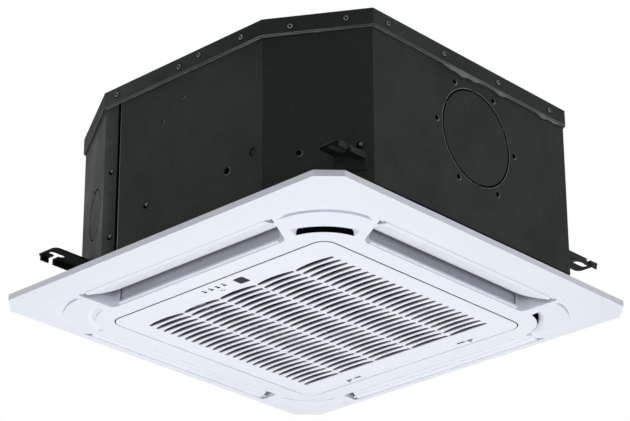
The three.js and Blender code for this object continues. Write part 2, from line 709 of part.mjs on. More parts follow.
function sensorWindow() {
  return prism(windowOutline(0), -FACE_DEPTH + 0.2, GRILLE_PLATE - FACE_DEPTH);
}

// ---------------------------------------------------------------- casing
// turns a piece made flat in XY, facing +Z, so that it faces outwards along the given direction
function faced(body, x, y, z, heading) {
  return body.rotate([90, 0, 0]).rotate([0, 0, heading + 90]).translate([x, y, z]);
}

function dashedRing(radius, dashes, phase, depth) {
  const step = 360 / dashes;
  const slits = [];
  for (let i = 0; i < dashes; i += 1) {
    const from = phase + i * step + KNOCKOUT_BRIDGE;
    const to = phase + (i + 1) * step - KNOCKOUT_BRIDGE;
    slits.push(prism(ringSector(0, 0, radius - KNOCKOUT_SLIT / 2, radius + KNOCKOUT_SLIT / 2, from, to, 3),
      -depth, depth));
  }
  return slits;
}

function chamferPoint(along) {
  const low = CASING_SHIFT - CASING_HALF;
  const length = Math.hypot(CASING_CUT_X, CASING_CUT_Y);
  const t = along / length;
  return [low + CASING_CUT_X * t, low + CASING_CUT_Y * (1 - t)];
}

function casingShell() {
  const top = LID_TOP - LID_SHEET - GAP;
  const face = CASING_SHIFT - CASING_HALF;
  const right = CASING_SHIFT + CASING_HALF;
  const body = prism(casingOutline(0), CASING_BOTTOM, top);
  const inside = prism(casingOutline(-CASING_WALL), CASING_BOTTOM + CASING_WALL, top + 1);
  const mouth = prism(casingOutline(-CASING_FLANGE), CASING_BOTTOM - 1, CASING_BOTTOM + 3);
  const ring = dashedRing(KNOCKOUT_RADIUS, 6, 30, 6)
    .map((slit) => faced(slit, right, KNOCKOUT_Y, KNOCKOUT_Z, 0));
  const ringHoles = [0, 60, 120, 180, 240, 300].map((a) => (
    faced(bar(KNOCKOUT_HOLES * Math.cos(rad(a)), KNOCKOUT_HOLES * Math.sin(rad(a)), 2.4, -6, 6, 10),
      right, KNOCKOUT_Y, KNOCKOUT_Z, 0)));
  const [cx, cy] = chamferPoint(CHAMFER_KNOCKOUT_ALONG);
  const heading = 180 + THREE.MathUtils.radToDeg(Math.atan2(CASING_CUT_X, CASING_CUT_Y));
  const chamferRing = dashedRing(CHAMFER_KNOCKOUT, 4, 45, 6)
    .map((slit) => faced(slit, cx, cy, CHAMFER_KNOCKOUT_Z, heading));
  const port = faced(bar(0, 0, PORT_RADIUS, -6, 6, 20), PORT_X, face, PORT_Z, -90);
  const seam = block(SEAM_X - SEAM_WIDTH / 2, SEAM_X + SEAM_WIDTH / 2, face - 1, face + SEAM_DEPTH,
    CASING_BOTTOM - 1, top + 1);
  const left = CASING_SHIFT - CASING_HALF;
  const pipeHoles = pipeExits().map(({ y, z, radius }) => crossBar(left - 5, left + 14, y, z, radius + 1.5, 20));
  return cut(body, inside, mouth, ring, ringHoles, chamferRing, port, seam, pipeHoles);
}

function lid() {
  const skirtOuter = GAP + SEAL_THICK + GAP + LID_SKIRT_WALL;
  const low = LID_TOP - LID_SKIRT;
  const shell = prism(casingOutline(skirtOuter), low, LID_TOP);
  const inside = prism(casingOutline(skirtOuter - LID_SKIRT_WALL), low - 1, LID_TOP - LID_SHEET);
  const beads = [45, 135, 225, 315].map((angle) => turned(
    prism(rounded(rectangle(95, 240, -9, 9), [8.9], 2), LID_TOP - 1.2, LID_TOP + 1), angle));
  const dish = cut(bar(0, 0, 92, LID_TOP - 1.2, LID_TOP + 1, 28), bar(0, 0, 80, LID_TOP - 2, LID_TOP + 2, 28));
  return cut(shell, inside, beads.map((bead) => bead.translate([CASING_SHIFT, CASING_SHIFT, 0])), dish);
}

function lidSeal() {
  const low = LID_TOP - LID_SKIRT - SEAL_SHOWS;
  return cut(prism(casingOutline(GAP + SEAL_THICK), low, LID_TOP - LID_SHEET - GAP),
    prism(casingOutline(GAP), low - 1, LID_TOP));
}

function hangerBracket([rodX, rodY]) {
  const sx = Math.sign(rodX);
  const sy = Math.sign(rodY);
  // u runs outwards along X from the rod, v outwards along Y
  const place = (u0, u1, v0, v1, z0, z1) => block(
    Math.min(rodX + sx * u0, rodX + sx * u1), Math.max(rodX + sx * u0, rodX + sx * u1),
    Math.min(rodY + sy * v0, rodY + sy * v1), Math.max(rodY + sy * v0, rodY + sy * v1), z0, z1);
  const top = BRACKET_PLATE_Z + BRACKET_SHEET;
  const corner = 9;
  const plan = rounded([
    point(-BRACKET_IN, -BRACKET_REACH), point(BRACKET_OUT, -BRACKET_REACH),
    point(BRACKET_OUT, BRACKET_END), point(-BRACKET_IN, BRACKET_END),
  ], [0, 0, 2, corner], 4).map((p) => point(rodX + sx * p.x, rodY + sy * p.y));
  const plate = prism(plan, BRACKET_PLATE_Z, top);
  const lip = place(BRACKET_OUT - BRACKET_SHEET, BRACKET_OUT, -BRACKET_REACH, BRACKET_END - 3,
    BRACKET_PLATE_Z - BRACKET_LIP, top);
  const slotEnd = BRACKET_SLOT_LENGTH / 2 - BRACKET_SLOT_HALF;
  const slot = join(
    bar(rodX, rodY + slotEnd, BRACKET_SLOT_HALF, 40, 90, 16),
    bar(rodX, rodY - slotEnd, BRACKET_SLOT_HALF, 40, 90, 16),
    block(rodX - BRACKET_SLOT_HALF, rodX + BRACKET_SLOT_HALF, rodY - slotEnd, rodY + slotEnd, 40, 90),
  );
  const mouth = place(0, BRACKET_OUT + 1, -BRACKET_MOUTH / 2 - 3, BRACKET_MOUTH / 2 - 3, 40, 90);
  const zone = place(-BRACKET_IN, BRACKET_OUT, -BRACKET_REACH, 0, BRACKET_PLATE_Z - BRACKET_ROOT, top);
  const root = cut(prism(casingOutline(GAP + BRACKET_SHEET), BRACKET_PLATE_Z - BRACKET_ROOT, top),
    prism(casingOutline(GAP), 0, 100)).intersect(zone);
  return cut(join(plate, lip, root), slot, mouth, prism(casingOutline(GAP), 0, 100));
}

function panelGasket() {
  const bottom = DUCT_TOP + GAP;
  const outlet = rectangle(-DUCT_THROAT_HALF + 2, DUCT_THROAT_HALF - 2, -DUCT_THROAT_OUT + 4, -OUTLET_IN + 2);
  const sheet = prism(casingOutline(-1.5), bottom, CASING_BOTTOM - GAP);
  return cut(sheet, onFourSides(prism(outlet, 0, 50)), prism(roundedSquare(226, 12), 0, 50));
}

// ---------------------------------------------------------------- air path
function drainPan() {
  const body = prism(roundedSquare(PAN_HALF, PAN_CORNER), PAN_BOTTOM, PAN_TOP);
  const outer = roundedSquare(COIL_HALF + COIL_THICK / 2 + 4, COIL_CORNER + COIL_THICK / 2, 6);
  const inner = roundedSquare(COIL_HALF - COIL_THICK / 2 - 4, COIL_CORNER - COIL_THICK / 2, 6);
  const trough = cut(prism(outer, TROUGH_FLOOR, PAN_TOP + 1), prism(inner, 0, PAN_TOP + 2));
  return cut(body, bar(0, 0, PAN_BORE, 0, 100, 32), trough);
}

// foam between the pan and the casing, open over the four outlets
function outletFoam() {
  const outlet = rectangle(-DUCT_THROAT_HALF + 2, DUCT_THROAT_HALF - 2, -DUCT_THROAT_OUT + 2, -OUTLET_IN + 20);
  const body = prism(casingOutline(-CASING_WALL - PAN_CLEARANCE), PAN_BOTTOM, PAN_TOP);
  const inside = prism(roundedSquare(PAN_HALF + GAP, PAN_CORNER + GAP), 0, 100);
  return cut(body, inside, onFourSides(prism(outlet, 0, 100)));
}

function sideInsulation() {
  const outer = prism(casingOutline(-CASING_WALL - GAP), PAN_TOP + GAP, INSULATION_TOP);
  const inner = prism(casingOutline(-CASING_WALL - GAP - INSULATION_THICK), 0, INSULATION_TOP + 1);
  const left = CASING_SHIFT - CASING_HALF;
  const pipeHoles = pipeExits().map(({ y, z, radius }) => (
    crossBar(left - 5, left + 20, y, z, radius + GAP, 20)));
  return cut(outer, inner, pipeHoles);
}

// walks round the coil's middle line from one leg's end to the other, past three corners
function coilLine(offset, finned) {
  const straight = COIL_HALF - COIL_CORNER;
  const legs = [
    { from: [-1, COIL_END], to: [-1, -straight], axis: 'y', side: -1 },
    { from: [-straight, -1], to: [straight, -1], axis: 'x', side: -1 },
    { from: [1, -straight], to: [1, straight], axis: 'y', side: 1 },
    { from: [straight, 1], to: [-COIL_END, 1], axis: 'x', side: 1 },
  ];
  const corners = [[-straight, -straight, 180], [straight, -straight, 270], [straight, straight, 0]];
  const line = [];
  legs.forEach((leg, k) => {
    const fixed = leg.side * (COIL_HALF + offset);
    const dug = leg.side * (COIL_HALF + offset - FIN_DEPTH);
    const [a, b] = leg.axis === 'y' ? [leg.from[1], leg.to[1]] : [leg.from[0], leg.to[0]];
    const put = (s, depth) => line.push(leg.axis === 'y' ? point(depth, s) : point(s, depth));
    put(a, fixed);
    const count = finned ? Math.floor((Math.abs(b - a) - FIN_NOTCH) / FIN_PITCH) : 0;
    const way = Math.sign(b - a);
    for (let i = 1; i <= count; i += 1) {
      const s = a + way * i * FIN_PITCH;
      put(s - (way * FIN_NOTCH) / 2, fixed);
      put(s - (way * FIN_NOTCH) / 2, dug);
      put(s + (way * FIN_NOTCH) / 2, dug);
      put(s + (way * FIN_NOTCH) / 2, fixed);
    }
    put(b, fixed);
    if (k < corners.length) {
      const [cx, cy, start] = corners[k];
      line.push(...arc(cx, cy, COIL_CORNER + offset, start, start + 90, 6).slice(1, -1));
    }
  });
  return line;
}

function evaporatorCoil() {
  const outer = coilLine(COIL_THICK / 2, true);
  const inner = coilLine(-COIL_THICK / 2, false);
  return prism([...outer, ...inner.reverse()], TROUGH_FLOOR + GAP, COIL_TOP);
}

// the plate at the end of a coil leg, with the return bends that stand out of it
function tubeSheet() {
  const x = -COIL_HALF;
  const y = COIL_END + GAP;
  const plate = block(x - COIL_THICK / 2, x + COIL_THICK / 2, y, y + 1.5, TROUGH_FLOOR + GAP, COIL_TOP);
  const bends = [0, 1, 2, 3, 4].map((i) => {
    const z = TROUGH_FLOOR + 28 + i * 34;
    const lean = i % 2 ? 6 : -6;
    return pipe([[x + lean, y + 0.5, z - 7], [x + lean, y + 7, z - 6], [x + lean, y + 11, z],
      [x + lean, y + 7, z + 6], [x + lean, y + 0.5, z + 7]], 3, 6, 4);
  });
  return join(plate, bends);
}

function otherTubeSheet() {
  return tubeSheet().mirror([1, 1, 0]);
}

function pipeExits() {
  return [
    { y: 158, z: 205, radius: 6.35 },
    { y: 184, z: 188, radius: 3.2 },
    { y: 192, z: 228, radius: 12.5 },
  ];
}

function stubReach() {
  return CASING_SHIFT - CASING_HALF - STUB_OUT;
}

function gasPipe() {
  const [{ y, z, radius }] = pipeExits();
  const end = stubReach();
  const tube = pipe([[-207, COIL_END + 2.1, z - 34], [-207, COIL_END + 14, z - 34], [-217, y, z - 8], [-230, y, z],
    [-246, y, z], [end, y, z]], radius, 10, 12);
  const nut = crossBar(end + 2, end + 22, y, z, radius + 5.5, 6);
  return join(tube, nut);
}

function liquidPipe() {
  const { y, z, radius } = pipeExits()[1];
  const end = stubReach();
  const tube = pipe([[-200, COIL_END + 2.1, z - 51], [-200, COIL_END + 14, z - 50], [-205, y - 16, z - 20],
    [-216, y - 7, z - 2], [-234, y, z],
    [end, y, z]], radius, 8, 12);
  const nut = crossBar(end + 2, end + 18, y, z, radius + 5.5, 6);
  return join(tube, nut);
}

function drainSpigot() {
  const { y, z, radius } = pipeExits()[2];
  const end = stubReach();
  const tube = crossBar(end, -226, y, z, radius, 20);
  const bore = crossBar(end - 1, -230, y, z, radius - 2, 20);
  const bead = crossBar(end + 3, end + 7, y, z, radius + 1, 20);
  return cut(join(tube, bead), bore);
}

function drainPump() {
  const [x, y] = PUMP_AT;
  const foot = PAN_TOP + GAP;
  const z = pipeExits()[2].z;
  const bowl = bar(x, y, PUMP_RADIUS, foot, foot + 34, 24);
  const neck = bar(x, y, 14, foot + 30, z - 12, 16);
  const motor = bar(x, y, 22, z - 16, z + 16, 24);
  const outlet = crossBar(-226 + GAP, x, y, z, 9, 14);
  return join(bowl, neck, motor, outlet);
}

function floatSwitch() {
  const [x, y] = FLOAT_AT;
  return join(bar(x, y, 8, PAN_TOP + GAP, PAN_TOP + 16, 16), bar(x, y, 3, PAN_TOP + 14, PAN_TOP + 44, 10));
}

function bellMouth() {
  const outer = [[BELL_FLARE, PAN_BOTTOM - 2.4], [BELL_FLARE, PAN_BOTTOM - GAP], [156.5, PAN_BOTTOM - GAP],
    [148.5, 34], [BELL_THROAT + BELL_WALL, 50], [BELL_THROAT + BELL_WALL, BELL_TOP]];
  const inner = [[BELL_THROAT, BELL_TOP], [BELL_THROAT, 49.5], [146.4, 33.2], [154, PAN_BOTTOM - 2.4]];
  return revolve([...outer, ...inner], 32);
}

// ---------------------------------------------------------------- fan
function fanBack() {
  return revolve([
    [SHAFT_RADIUS + GAP, HUB_FLOOR], [20, HUB_FLOOR + 1], [56, HUB_FLOOR + 11],
    [86, FAN_BACK - 9], [98, FAN_BACK - 1], [FAN_RADIUS, FAN_BACK],
    [FAN_RADIUS, FAN_BACK + FAN_SHEET], [96.5, FAN_BACK + 1.6], [84, FAN_BACK - 6.8],
    [54.2, HUB_FLOOR + 13.6], [15, HUB_FLOOR + 4.5], [13, HUB_FLOOR + 18],
    [SHAFT_RADIUS + GAP, HUB_FLOOR + 18],
  ], 30);
}

function fanShroud() {
  return revolve([
    [FAN_INLET, FAN_INLET_Z], [FAN_INLET + FAN_SHEET, FAN_INLET_Z], [FAN_INLET + 4.6, FAN_INLET_Z + 16],
    [FAN_RADIUS + 1, FAN_INLET_Z + 29], [FAN_RADIUS - 0.5, FAN_INLET_Z + 31.6],
    [FAN_INLET + 2.4, FAN_INLET_Z + 17.6],
  ], 30);
}

function fanBlade() {
  const from = point(100, 0);
  const to = point(FAN_RADIUS * Math.cos(rad(-32)), FAN_RADIUS * Math.sin(rad(-32)));
  const bend = point(138, -26);
  const path = new THREE.QuadraticBezierCurve(from, bend, to);
  const left = [];
  const right = [];
  for (let i = 0; i <= 4; i += 1) {
    const t = i / 4;
    const p = path.getPoint(t);
    const d = path.getTangent(t);
    const half = 1.1 + 1.3 * Math.sin(Math.PI * Math.min(1, t + 0.15));
    left.push(point(p.x - d.y * half, p.y + d.x * half));
    right.push(point(p.x + d.y * half, p.y - d.x * half));
  }
  return prism([...right, ...left.reverse()], FAN_INLET_Z + 8, FAN_BACK + 1);
}

function turboFan() {
  const room = revolve([[92, FAN_BACK - 1], [FAN_RADIUS - 1, FAN_BACK + 1], [FAN_RADIUS - 1, FAN_INLET_Z + 30],
    [FAN_INLET + 3.5, FAN_INLET_Z + 16.4], [128, FAN_INLET_Z + 16],
    [92, FAN_INLET_Z + 60]], 30);
  const blades = [];
  for (let i = 0; i < FAN_BLADES; i += 1) {
    blades.push(turned(fanBlade(), (i * 360) / FAN_BLADES));
  }
  return join(join(blades).intersect(room), fanBack(), fanShroud());
}

function fanShaft() {
  return bar(0, 0, SHAFT_RADIUS, HUB_FLOOR - 10, MOTOR_BOTTOM + 24, 20);
}

function fanNut() {
  const hex = bar(0, 0, 10, HUB_FLOOR - 8.3, HUB_FLOOR - GAP, 6);
  return cut(hex, bar(0, 0, SHAFT_RADIUS + GAP, 0, 300, 20));
}

function fanMotor() {
  const can = revolve([[0, MOTOR_BOTTOM], [18, MOTOR_BOTTOM], [20, MOTOR_BOTTOM + 6], [42, MOTOR_BOTTOM + 10],
    [MOTOR_RADIUS, MOTOR_BOTTOM + 18], [MOTOR_RADIUS, MOTOR_TOP - 6], [68, MOTOR_TOP - 4], [68, MOTOR_TOP],
    [0, MOTOR_TOP]], 28);
  const top = LID_TOP - LID_SHEET - GAP;
  const posts = [0, 120, 240].map((a) => bar(58 * Math.cos(rad(a)), 58 * Math.sin(rad(a)), 6, MOTOR_TOP - 1, top, 14));
  const bore = bar(0, 0, SHAFT_RADIUS + GAP, 0, MOTOR_BOTTOM + 25, 20);
  return cut(join(can, posts), bore);
}

// ---------------------------------------------------------------- control box
function controlBox() {
  const top = PAN_BOTTOM - GAP;
  const x0 = -BOX_OUT;
  const x1 = -BOX_OUT + BOX_WIDTH;
  const body = block(x0, x1, -BOX_HALF_LENGTH, BOX_HALF_LENGTH, top - BOX_DEPTH, top);
  const inside = block(x0 + BOX_SHEET, x1 - BOX_SHEET, -BOX_HALF_LENGTH + BOX_SHEET, BOX_HALF_LENGTH - BOX_SHEET,
    top - BOX_DEPTH - 1, top - BOX_SHEET);
  return cut(body, inside);
}

function controlBoxCover() {
  const low = PAN_BOTTOM - GAP - BOX_DEPTH - GAP;
  const x0 = -BOX_OUT;
  const x1 = -BOX_OUT + BOX_WIDTH;
  const sheet = block(x0, x1, -BOX_HALF_LENGTH, BOX_HALF_LENGTH, low - BOX_SHEET, low);
  const lipX = BOX_SHEET + GAP;
  const tray = cut(
    block(x0 + lipX, x1 - lipX, -BOX_HALF_LENGTH + lipX, BOX_HALF_LENGTH - lipX, low - 0.5, low + 4),
    block(x0 + lipX + 1.2, x1 - lipX - 1.2, -BOX_HALF_LENGTH + lipX + 1.2, BOX_HALF_LENGTH - lipX - 1.2, low, low + 5),
  );
  return join(sheet, tray);
}

// ---------------------------------------------------------------- assembly
const cassette = new THREE.Group();

function add(name, body, material) {
  const mesh = new THREE.Mesh(geometryOf(body), material);
  mesh.name = name;
  cassette.add(mesh);
}

add('casing_shell', casingShell(), CASING_BLACK);
add('lid', lid(), CASING_BLACK);
add('lid_seal_strip', lidSeal(), SEAL_GREY);
BRACKET_RODS.forEach((rod, i) => add(`hanger_bracket_${i + 1}`, hangerBracket(rod), BRACKET_BLACK));
add('side_insulation', sideInsulation(), FOAM_BLACK);
add('drain_pan', drainPan(), PAN_FOAM);
add('outlet_foam', outletFoam(), PAN_FOAM);
add('evaporator_coil', evaporatorCoil(), FIN_METAL);
add('tube_sheet_1', tubeSheet(), COPPER);
add('tube_sheet_2', otherTubeSheet(), COPPER);
add('gas_pipe_stub', gasPipe(), COPPER);
add('liquid_pipe_stub', liquidPipe(), COPPER);
add('drain_spigot', drainSpigot(), PAN_FOAM);
add('drain_pump', drainPump(), FAN_PLASTIC);
add('float_switch', floatSwitch(), FAN_PLASTIC);
add('bell_mouth', bellMouth(), FAN_PLASTIC);
add('fan_motor', fanMotor(), MOTOR_STEEL);
add('turbo_fan', turboFan(), FAN_PLASTIC);
add('fan_shaft', fanShaft(), MOTOR_STEEL);
add('fan_nut', fanNut(), MOTOR_STEEL);
add('control_box', controlBox(), BOX_STEEL);
add('control_box_cover', controlBoxCover(), BOX_STEEL);
add('panel_gasket', panelGasket(), FOAM_BLACK);
add('panel_frame', panelFrame(), PANEL_WHITE);
onFourSides(cornerCover()).forEach((body, i) => add(`corner_cover_${i + 1}`, body, PANEL_WHITE));
onFourSides(cornerGuide()).forEach((body, i) => add(`corner_guide_${i + 1}`, body, FOAM_BLACK));
onFourSides(ductLiner()).forEach((body, i) => add(`duct_liner_${i + 1}`, body, LINER_GREY));
onFourSides(vane()).forEach((body, i) => add(`louver_${i + 1}`, body, VANE_WHITE));
onFourSides(louverStepper()).forEach((body, i) => add(`louver_motor_${i + 1}`, body, FAN_PLASTIC));
add('intake_grille', intakeGrille(), GRILLE_WHITE);
add('air_filter', airFilter(), FILTER_GREY);
add('display_module', displayModule(), FAN_PLASTIC);
add('sensor_window', sensorWindow(), DARK_GLASS);
add('latch_1', latch(-LATCH_X), GRILLE_WHITE);
add('latch_2', latch(LATCH_X), GRILLE_WHITE);

export default cassette;
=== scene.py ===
"""Ceiling cassette air conditioner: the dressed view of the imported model.

Lengths are in millimetres here and in metres in the frame. +Z is up, the finished ceiling is at
z = 0, and the display side of the grille looks towards -Y.
"""
import json
import math

import bmesh
import bpy
from mathutils import Matrix, Vector
from mathutils.bvhtree import BVHTree


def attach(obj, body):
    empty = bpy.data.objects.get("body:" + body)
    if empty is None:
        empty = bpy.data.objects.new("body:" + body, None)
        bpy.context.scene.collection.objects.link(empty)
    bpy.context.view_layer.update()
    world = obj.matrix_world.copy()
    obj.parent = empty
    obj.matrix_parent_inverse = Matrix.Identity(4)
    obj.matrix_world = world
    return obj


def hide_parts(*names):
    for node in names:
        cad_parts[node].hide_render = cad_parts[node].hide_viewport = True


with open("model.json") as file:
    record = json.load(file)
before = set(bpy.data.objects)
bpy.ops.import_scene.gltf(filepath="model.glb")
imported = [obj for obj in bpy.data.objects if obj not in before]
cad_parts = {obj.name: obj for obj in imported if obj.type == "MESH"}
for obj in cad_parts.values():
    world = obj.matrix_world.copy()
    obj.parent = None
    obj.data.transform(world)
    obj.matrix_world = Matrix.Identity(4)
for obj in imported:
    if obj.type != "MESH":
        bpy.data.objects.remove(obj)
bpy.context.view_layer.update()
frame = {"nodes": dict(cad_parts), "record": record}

MM = 0.001
QUARTER_TURN = math.pi / 2
# the colour sockets of a Mix node: its two inputs and its output
MIX_FIRST, MIX_SECOND, MIX_RESULT = 6, 7, 2


# ---------------------------------------------------------------- shader groups
def node_group(name, inputs, outputs):
    """An empty shader group; inputs gives names and values, and outputs gives names and kinds.
    Returns the group with its input and output nodes."""
    group = bpy.data.node_groups.new(name, "ShaderNodeTree")
    for label, value in inputs.items():
        kind = "Color" if isinstance(value, tuple) else "Float"
        socket = group.interface.new_socket(label, in_out="INPUT", socket_type="NodeSocket" + kind)
        socket.default_value = (*value, 1.0) if isinstance(value, tuple) else value
    for label, kind in outputs.items():
        group.interface.new_socket(label, in_out="OUTPUT", socket_type="NodeSocket" + kind)
    return group, group.nodes.new("NodeGroupInput"), group.nodes.new("NodeGroupOutput")


def feed(tree, socket, value):
    """Gives a socket its value: a number, a colour or another node's output."""
    if isinstance(value, bpy.types.NodeSocket):
        tree.links.new(value, socket)
    else:
        socket.default_value = (*value, 1.0) if isinstance(value, tuple) else value


def noise(tree, scale, detail, rough=0.5, stretch=None):
    """Noise in object space; stretch scales the space so that the grain runs along an axis."""
    vector = tree.nodes.new("ShaderNodeTexCoord").outputs["Object"]
    if stretch is not None:
        mapping = tree.nodes.new("ShaderNodeMapping")
        mapping.inputs["Scale"].default_value = stretch
        tree.links.new(vector, mapping.inputs["Vector"])
        vector = mapping.outputs["Vector"]
    texture = tree.nodes.new("ShaderNodeTexNoise")
    given = {"Vector": vector, "Scale": scale, "Detail": detail, "Roughness": rough}
    for label, value in given.items():
        feed(tree, texture.inputs[label], value)
    return texture.outputs["Fac"]


def remap(tree, value, low, high, to_low, to_high):
    """Maps a value from low..high to to_low..to_high; each limit is a number or a socket."""
    node = tree.nodes.new("ShaderNodeMapRange")
    given = {"Value": value, "From Min": low, "From Max": high, "To Min": to_low, "To Max": to_high}
    for label, limit in given.items():
        feed(tree, node.inputs[label], limit)
    return node.outputs["Result"]


def blend_colours(tree, factor, first, second, mode="MIX"):
    node = tree.nodes.new("ShaderNodeMix")
    node.data_type = "RGBA"
    node.blend_type = mode
    for socket, value in (("Factor", factor), (MIX_FIRST, first), (MIX_SECOND, second)):
        feed(tree, node.inputs[socket], value)
    return node.outputs[MIX_RESULT]


def combined(tree, operation, *values):
    """The result of a Math node on one or two values."""
    node = tree.nodes.new("ShaderNodeMath")
    node.operation = operation
    for socket, value in zip(node.inputs, values):
        feed(tree, socket, value)
    return node.outputs[0]


def make_tone_group():
    """Slow drift of colour between two tones, with faint dusty patches over it."""
    group, given, put = node_group(
        "Tone drift", {"Tone": (0.8, 0.8, 0.8), "Drift Tone": (0.7, 0.7, 0.7),
                       "Dust Tone": (0.6, 0.6, 0.55), "Scale": 6.0, "Dust": 0.1},
        {"Color": "Color"})
    drift = remap(group, noise(group, given.outputs["Scale"], 2.0), 0.35, 0.65, 0.0, 1.0)
    tone = blend_colours(group, drift, given.outputs["Tone"], given.outputs["Drift Tone"])
    speck = remap(group, noise(group, 95.0, 6.0, 0.7), 0.5, 0.8, 0.0, given.outputs["Dust"])
    dusty = blend_colours(group, speck, tone, given.outputs["Dust Tone"])
    group.links.new(dusty, put.inputs["Color"])
    return group


def make_grain_group():
    """The fine skin of moulded plastic or sprayed paint: a bump height and a roughness."""
    group, given, put = node_group(
        "Surface grain", {"Scale": 900.0, "Smooth": 0.35, "Rough": 0.5},
        {"Height": "Float", "Roughness": "Float"})
    group.links.new(noise(group, given.outputs["Scale"], 2.0), put.inputs["Height"])
    rough = remap(group, noise(group, 14.0, 4.0), 0.3, 0.7,
                  given.outputs["Smooth"], given.outputs["Rough"])
    group.links.new(rough, put.inputs["Roughness"])
    return group


def make_scuff_group():
    """Sparse rubbed streaks, as on handled sheet metal; a mask from 0 to 1."""
    group, given, put = node_group("Scuff streaks", {"Amount": 0.3}, {"Mask": "Float"})
    streak = noise(group, 26.0, 5.0, 0.65, (0.35, 0.35, 4.0))
    streak_mask = remap(group, streak, 0.56, 0.78, 0.0, 1.0)
    patch_mask = remap(group, noise(group, 5.0, 2.0), 0.45, 0.65, 0.0, given.outputs["Amount"])
    group.links.new(combined(group, "MULTIPLY", streak_mask, patch_mask), put.inputs["Mask"])
    return group


TONE = make_tone_group()
GRAIN = make_grain_group()
SCUFF = make_scuff_group()


def place_group(tree, group, **values):
    """Places a shared group and returns its outputs; an underscore in a name stands for a space."""
    node = tree.nodes.new("ShaderNodeGroup")
    node.node_tree = group
    for label, value in values.items():
        feed(tree, node.inputs[label.replace("_", " ")], value)
    return node.outputs


DUST = (0.42, 0.40, 0.36)


def surface(name, tone, drift, dust_amount, smooth, rough, grain, depth, dust=DUST, metallic=0.0,
            scuff=0.0, scuff_tone=None, specular=0.28):
    """A moulded, painted or metal finish from the shared groups; depth is the grain's, in mm."""
    material = bpy.data.materials.new(name)
    material.use_nodes = True
    tree = material.node_tree
    shader = tree.nodes["Principled BSDF"]
    shader.inputs["Metallic"].default_value = metallic
    shader.inputs["Specular IOR Level"].default_value = specular
    colour = place_group(tree, TONE, Tone=tone, Drift_Tone=drift, Dust_Tone=dust,
                         Scale=6.0, Dust=dust_amount)["Color"]
    skin = place_group(tree, GRAIN, Scale=grain, Smooth=smooth, Rough=rough)
    if scuff:
        mask = place_group(tree, SCUFF, Amount=scuff)["Mask"]
        colour = blend_colours(tree, mask, colour, scuff_tone)
    tree.links.new(colour, shader.inputs["Base Color"])
    tree.links.new(skin["Roughness"], shader.inputs["Roughness"])
    bump = tree.nodes.new("ShaderNodeBump")
    bump.inputs["Strength"].default_value = 1.0
    bump.inputs["Distance"].default_value = depth * MM
    tree.links.new(skin["Height"], bump.inputs["Height"])
    tree.links.new(bump.outputs["Normal"], shader.inputs["Normal"])
    return material


def upward_part(tree, label):
    """The Z part of the object-space position or of the surface normal."""
    split = tree.nodes.new("ShaderNodeSeparateXYZ")
    tree.links.new(tree.nodes.new("ShaderNodeTexCoord").outputs[label], split.inputs[0])
    return split.outputs["Z"]


def painted_shade_inward(material, low, high, darkest, walls_only=False):
    """Paints shade into a finish: darkens it from low up to high, down to the share darkest
    at high, as shade falls deeper in a duct or a slot; walls_only spares the level faces."""
    tree = material.node_tree
    base = tree.nodes["Principled BSDF"].inputs["Base Color"]
    colour = base.links[0].from_socket
    factor = remap(tree, upward_part(tree, "Object"), low * MM, high * MM, 0.0, 1.0)
    if walls_only:
        level = combined(tree, "ABSOLUTE", upward_part(tree, "Normal"))
        factor = combined(tree, "MULTIPLY", factor, remap(tree, level, 0.25, 0.6, 1.0, 0.0))
    shade = blend_colours(tree, factor, colour, (darkest, darkest, darkest), "MULTIPLY")
    tree.links.new(shade, base)
    return material


# ---------------------------------------------------------------- finishes
PANEL_TONES = (0.800, 0.828, 0.900), (0.785, 0.815, 0.890)
PANEL = surface("panel_plastic", *PANEL_TONES, 0.05, 0.34, 0.46, 1400.0, 0.03)
# the ducts' white plastic, with painted shade darkening it up the duct
DUCT = painted_shade_inward(
    surface("duct_plastic_painted_shade", *PANEL_TONES, 0.1, 0.38, 0.5, 1400.0, 0.03), -30.0, 4.0, 0.35)
VANE = surface("vane_plastic", (0.825, 0.850, 0.918), (0.810, 0.838, 0.908), 0.04,
               0.30, 0.42, 1400.0, 0.03)
# the grille's white plastic, with painted shade darkening the slots' walls deeper in
GRILLE = painted_shade_inward(
    surface("grille_plastic_painted_shade", (0.810, 0.836, 0.905), (0.795, 0.824, 0.895), 0.05,
            0.34, 0.46, 1400.0, 0.03), -32.0, -29.6, 0.12, walls_only=True)
CASING = surface("casing_paint", (0.0205, 0.0255, 0.0222), (0.0275, 0.033, 0.0295),
                 0.25, 0.50, 0.68, 700.0, 0.04, dust=(0.07, 0.07, 0.066),
                 scuff=0.3, scuff_tone=(0.05, 0.055, 0.052), specular=0.08)
BRACKET = surface("bracket_paint", (0.012, 0.014, 0.014), (0.018, 0.020, 0.020),
                  0.25, 0.45, 0.60, 700.0, 0.04, dust=(0.08, 0.08, 0.075),
                  scuff=0.5, scuff_tone=(0.05, 0.055, 0.055), specular=0.1)
CASING_WORN = surface("casing_paint_worn", (0.030, 0.034, 0.032), (0.040, 0.044, 0.042),
                      0.3, 0.50, 0.66, 700.0, 0.04, dust=(0.09, 0.09, 0.085),
                      scuff=0.6, scuff_tone=(0.075, 0.08, 0.077), specular=0.08)
# light grey for the flange's edges, the knockouts' burrs and the strip beside the joint: a painted
# highlight
EDGE_HIGHLIGHT = surface("casing_painted_highlight", (0.150, 0.158, 0.155), (0.080, 0.086, 0.084),
                   0.3, 0.35, 0.55, 900.0, 0.03, dust=(0.12, 0.12, 0.11),
                   metallic=0.3, scuff=0.6, scuff_tone=(0.16, 0.165, 0.16))
SCREW = surface("screw_zinc", (0.170, 0.178, 0.175), (0.110, 0.116, 0.114),
                0.3, 0.28, 0.46, 900.0, 0.03, dust=(0.15, 0.145, 0.13),
                metallic=0.3, scuff=0.6, scuff_tone=(0.32, 0.325, 0.32))
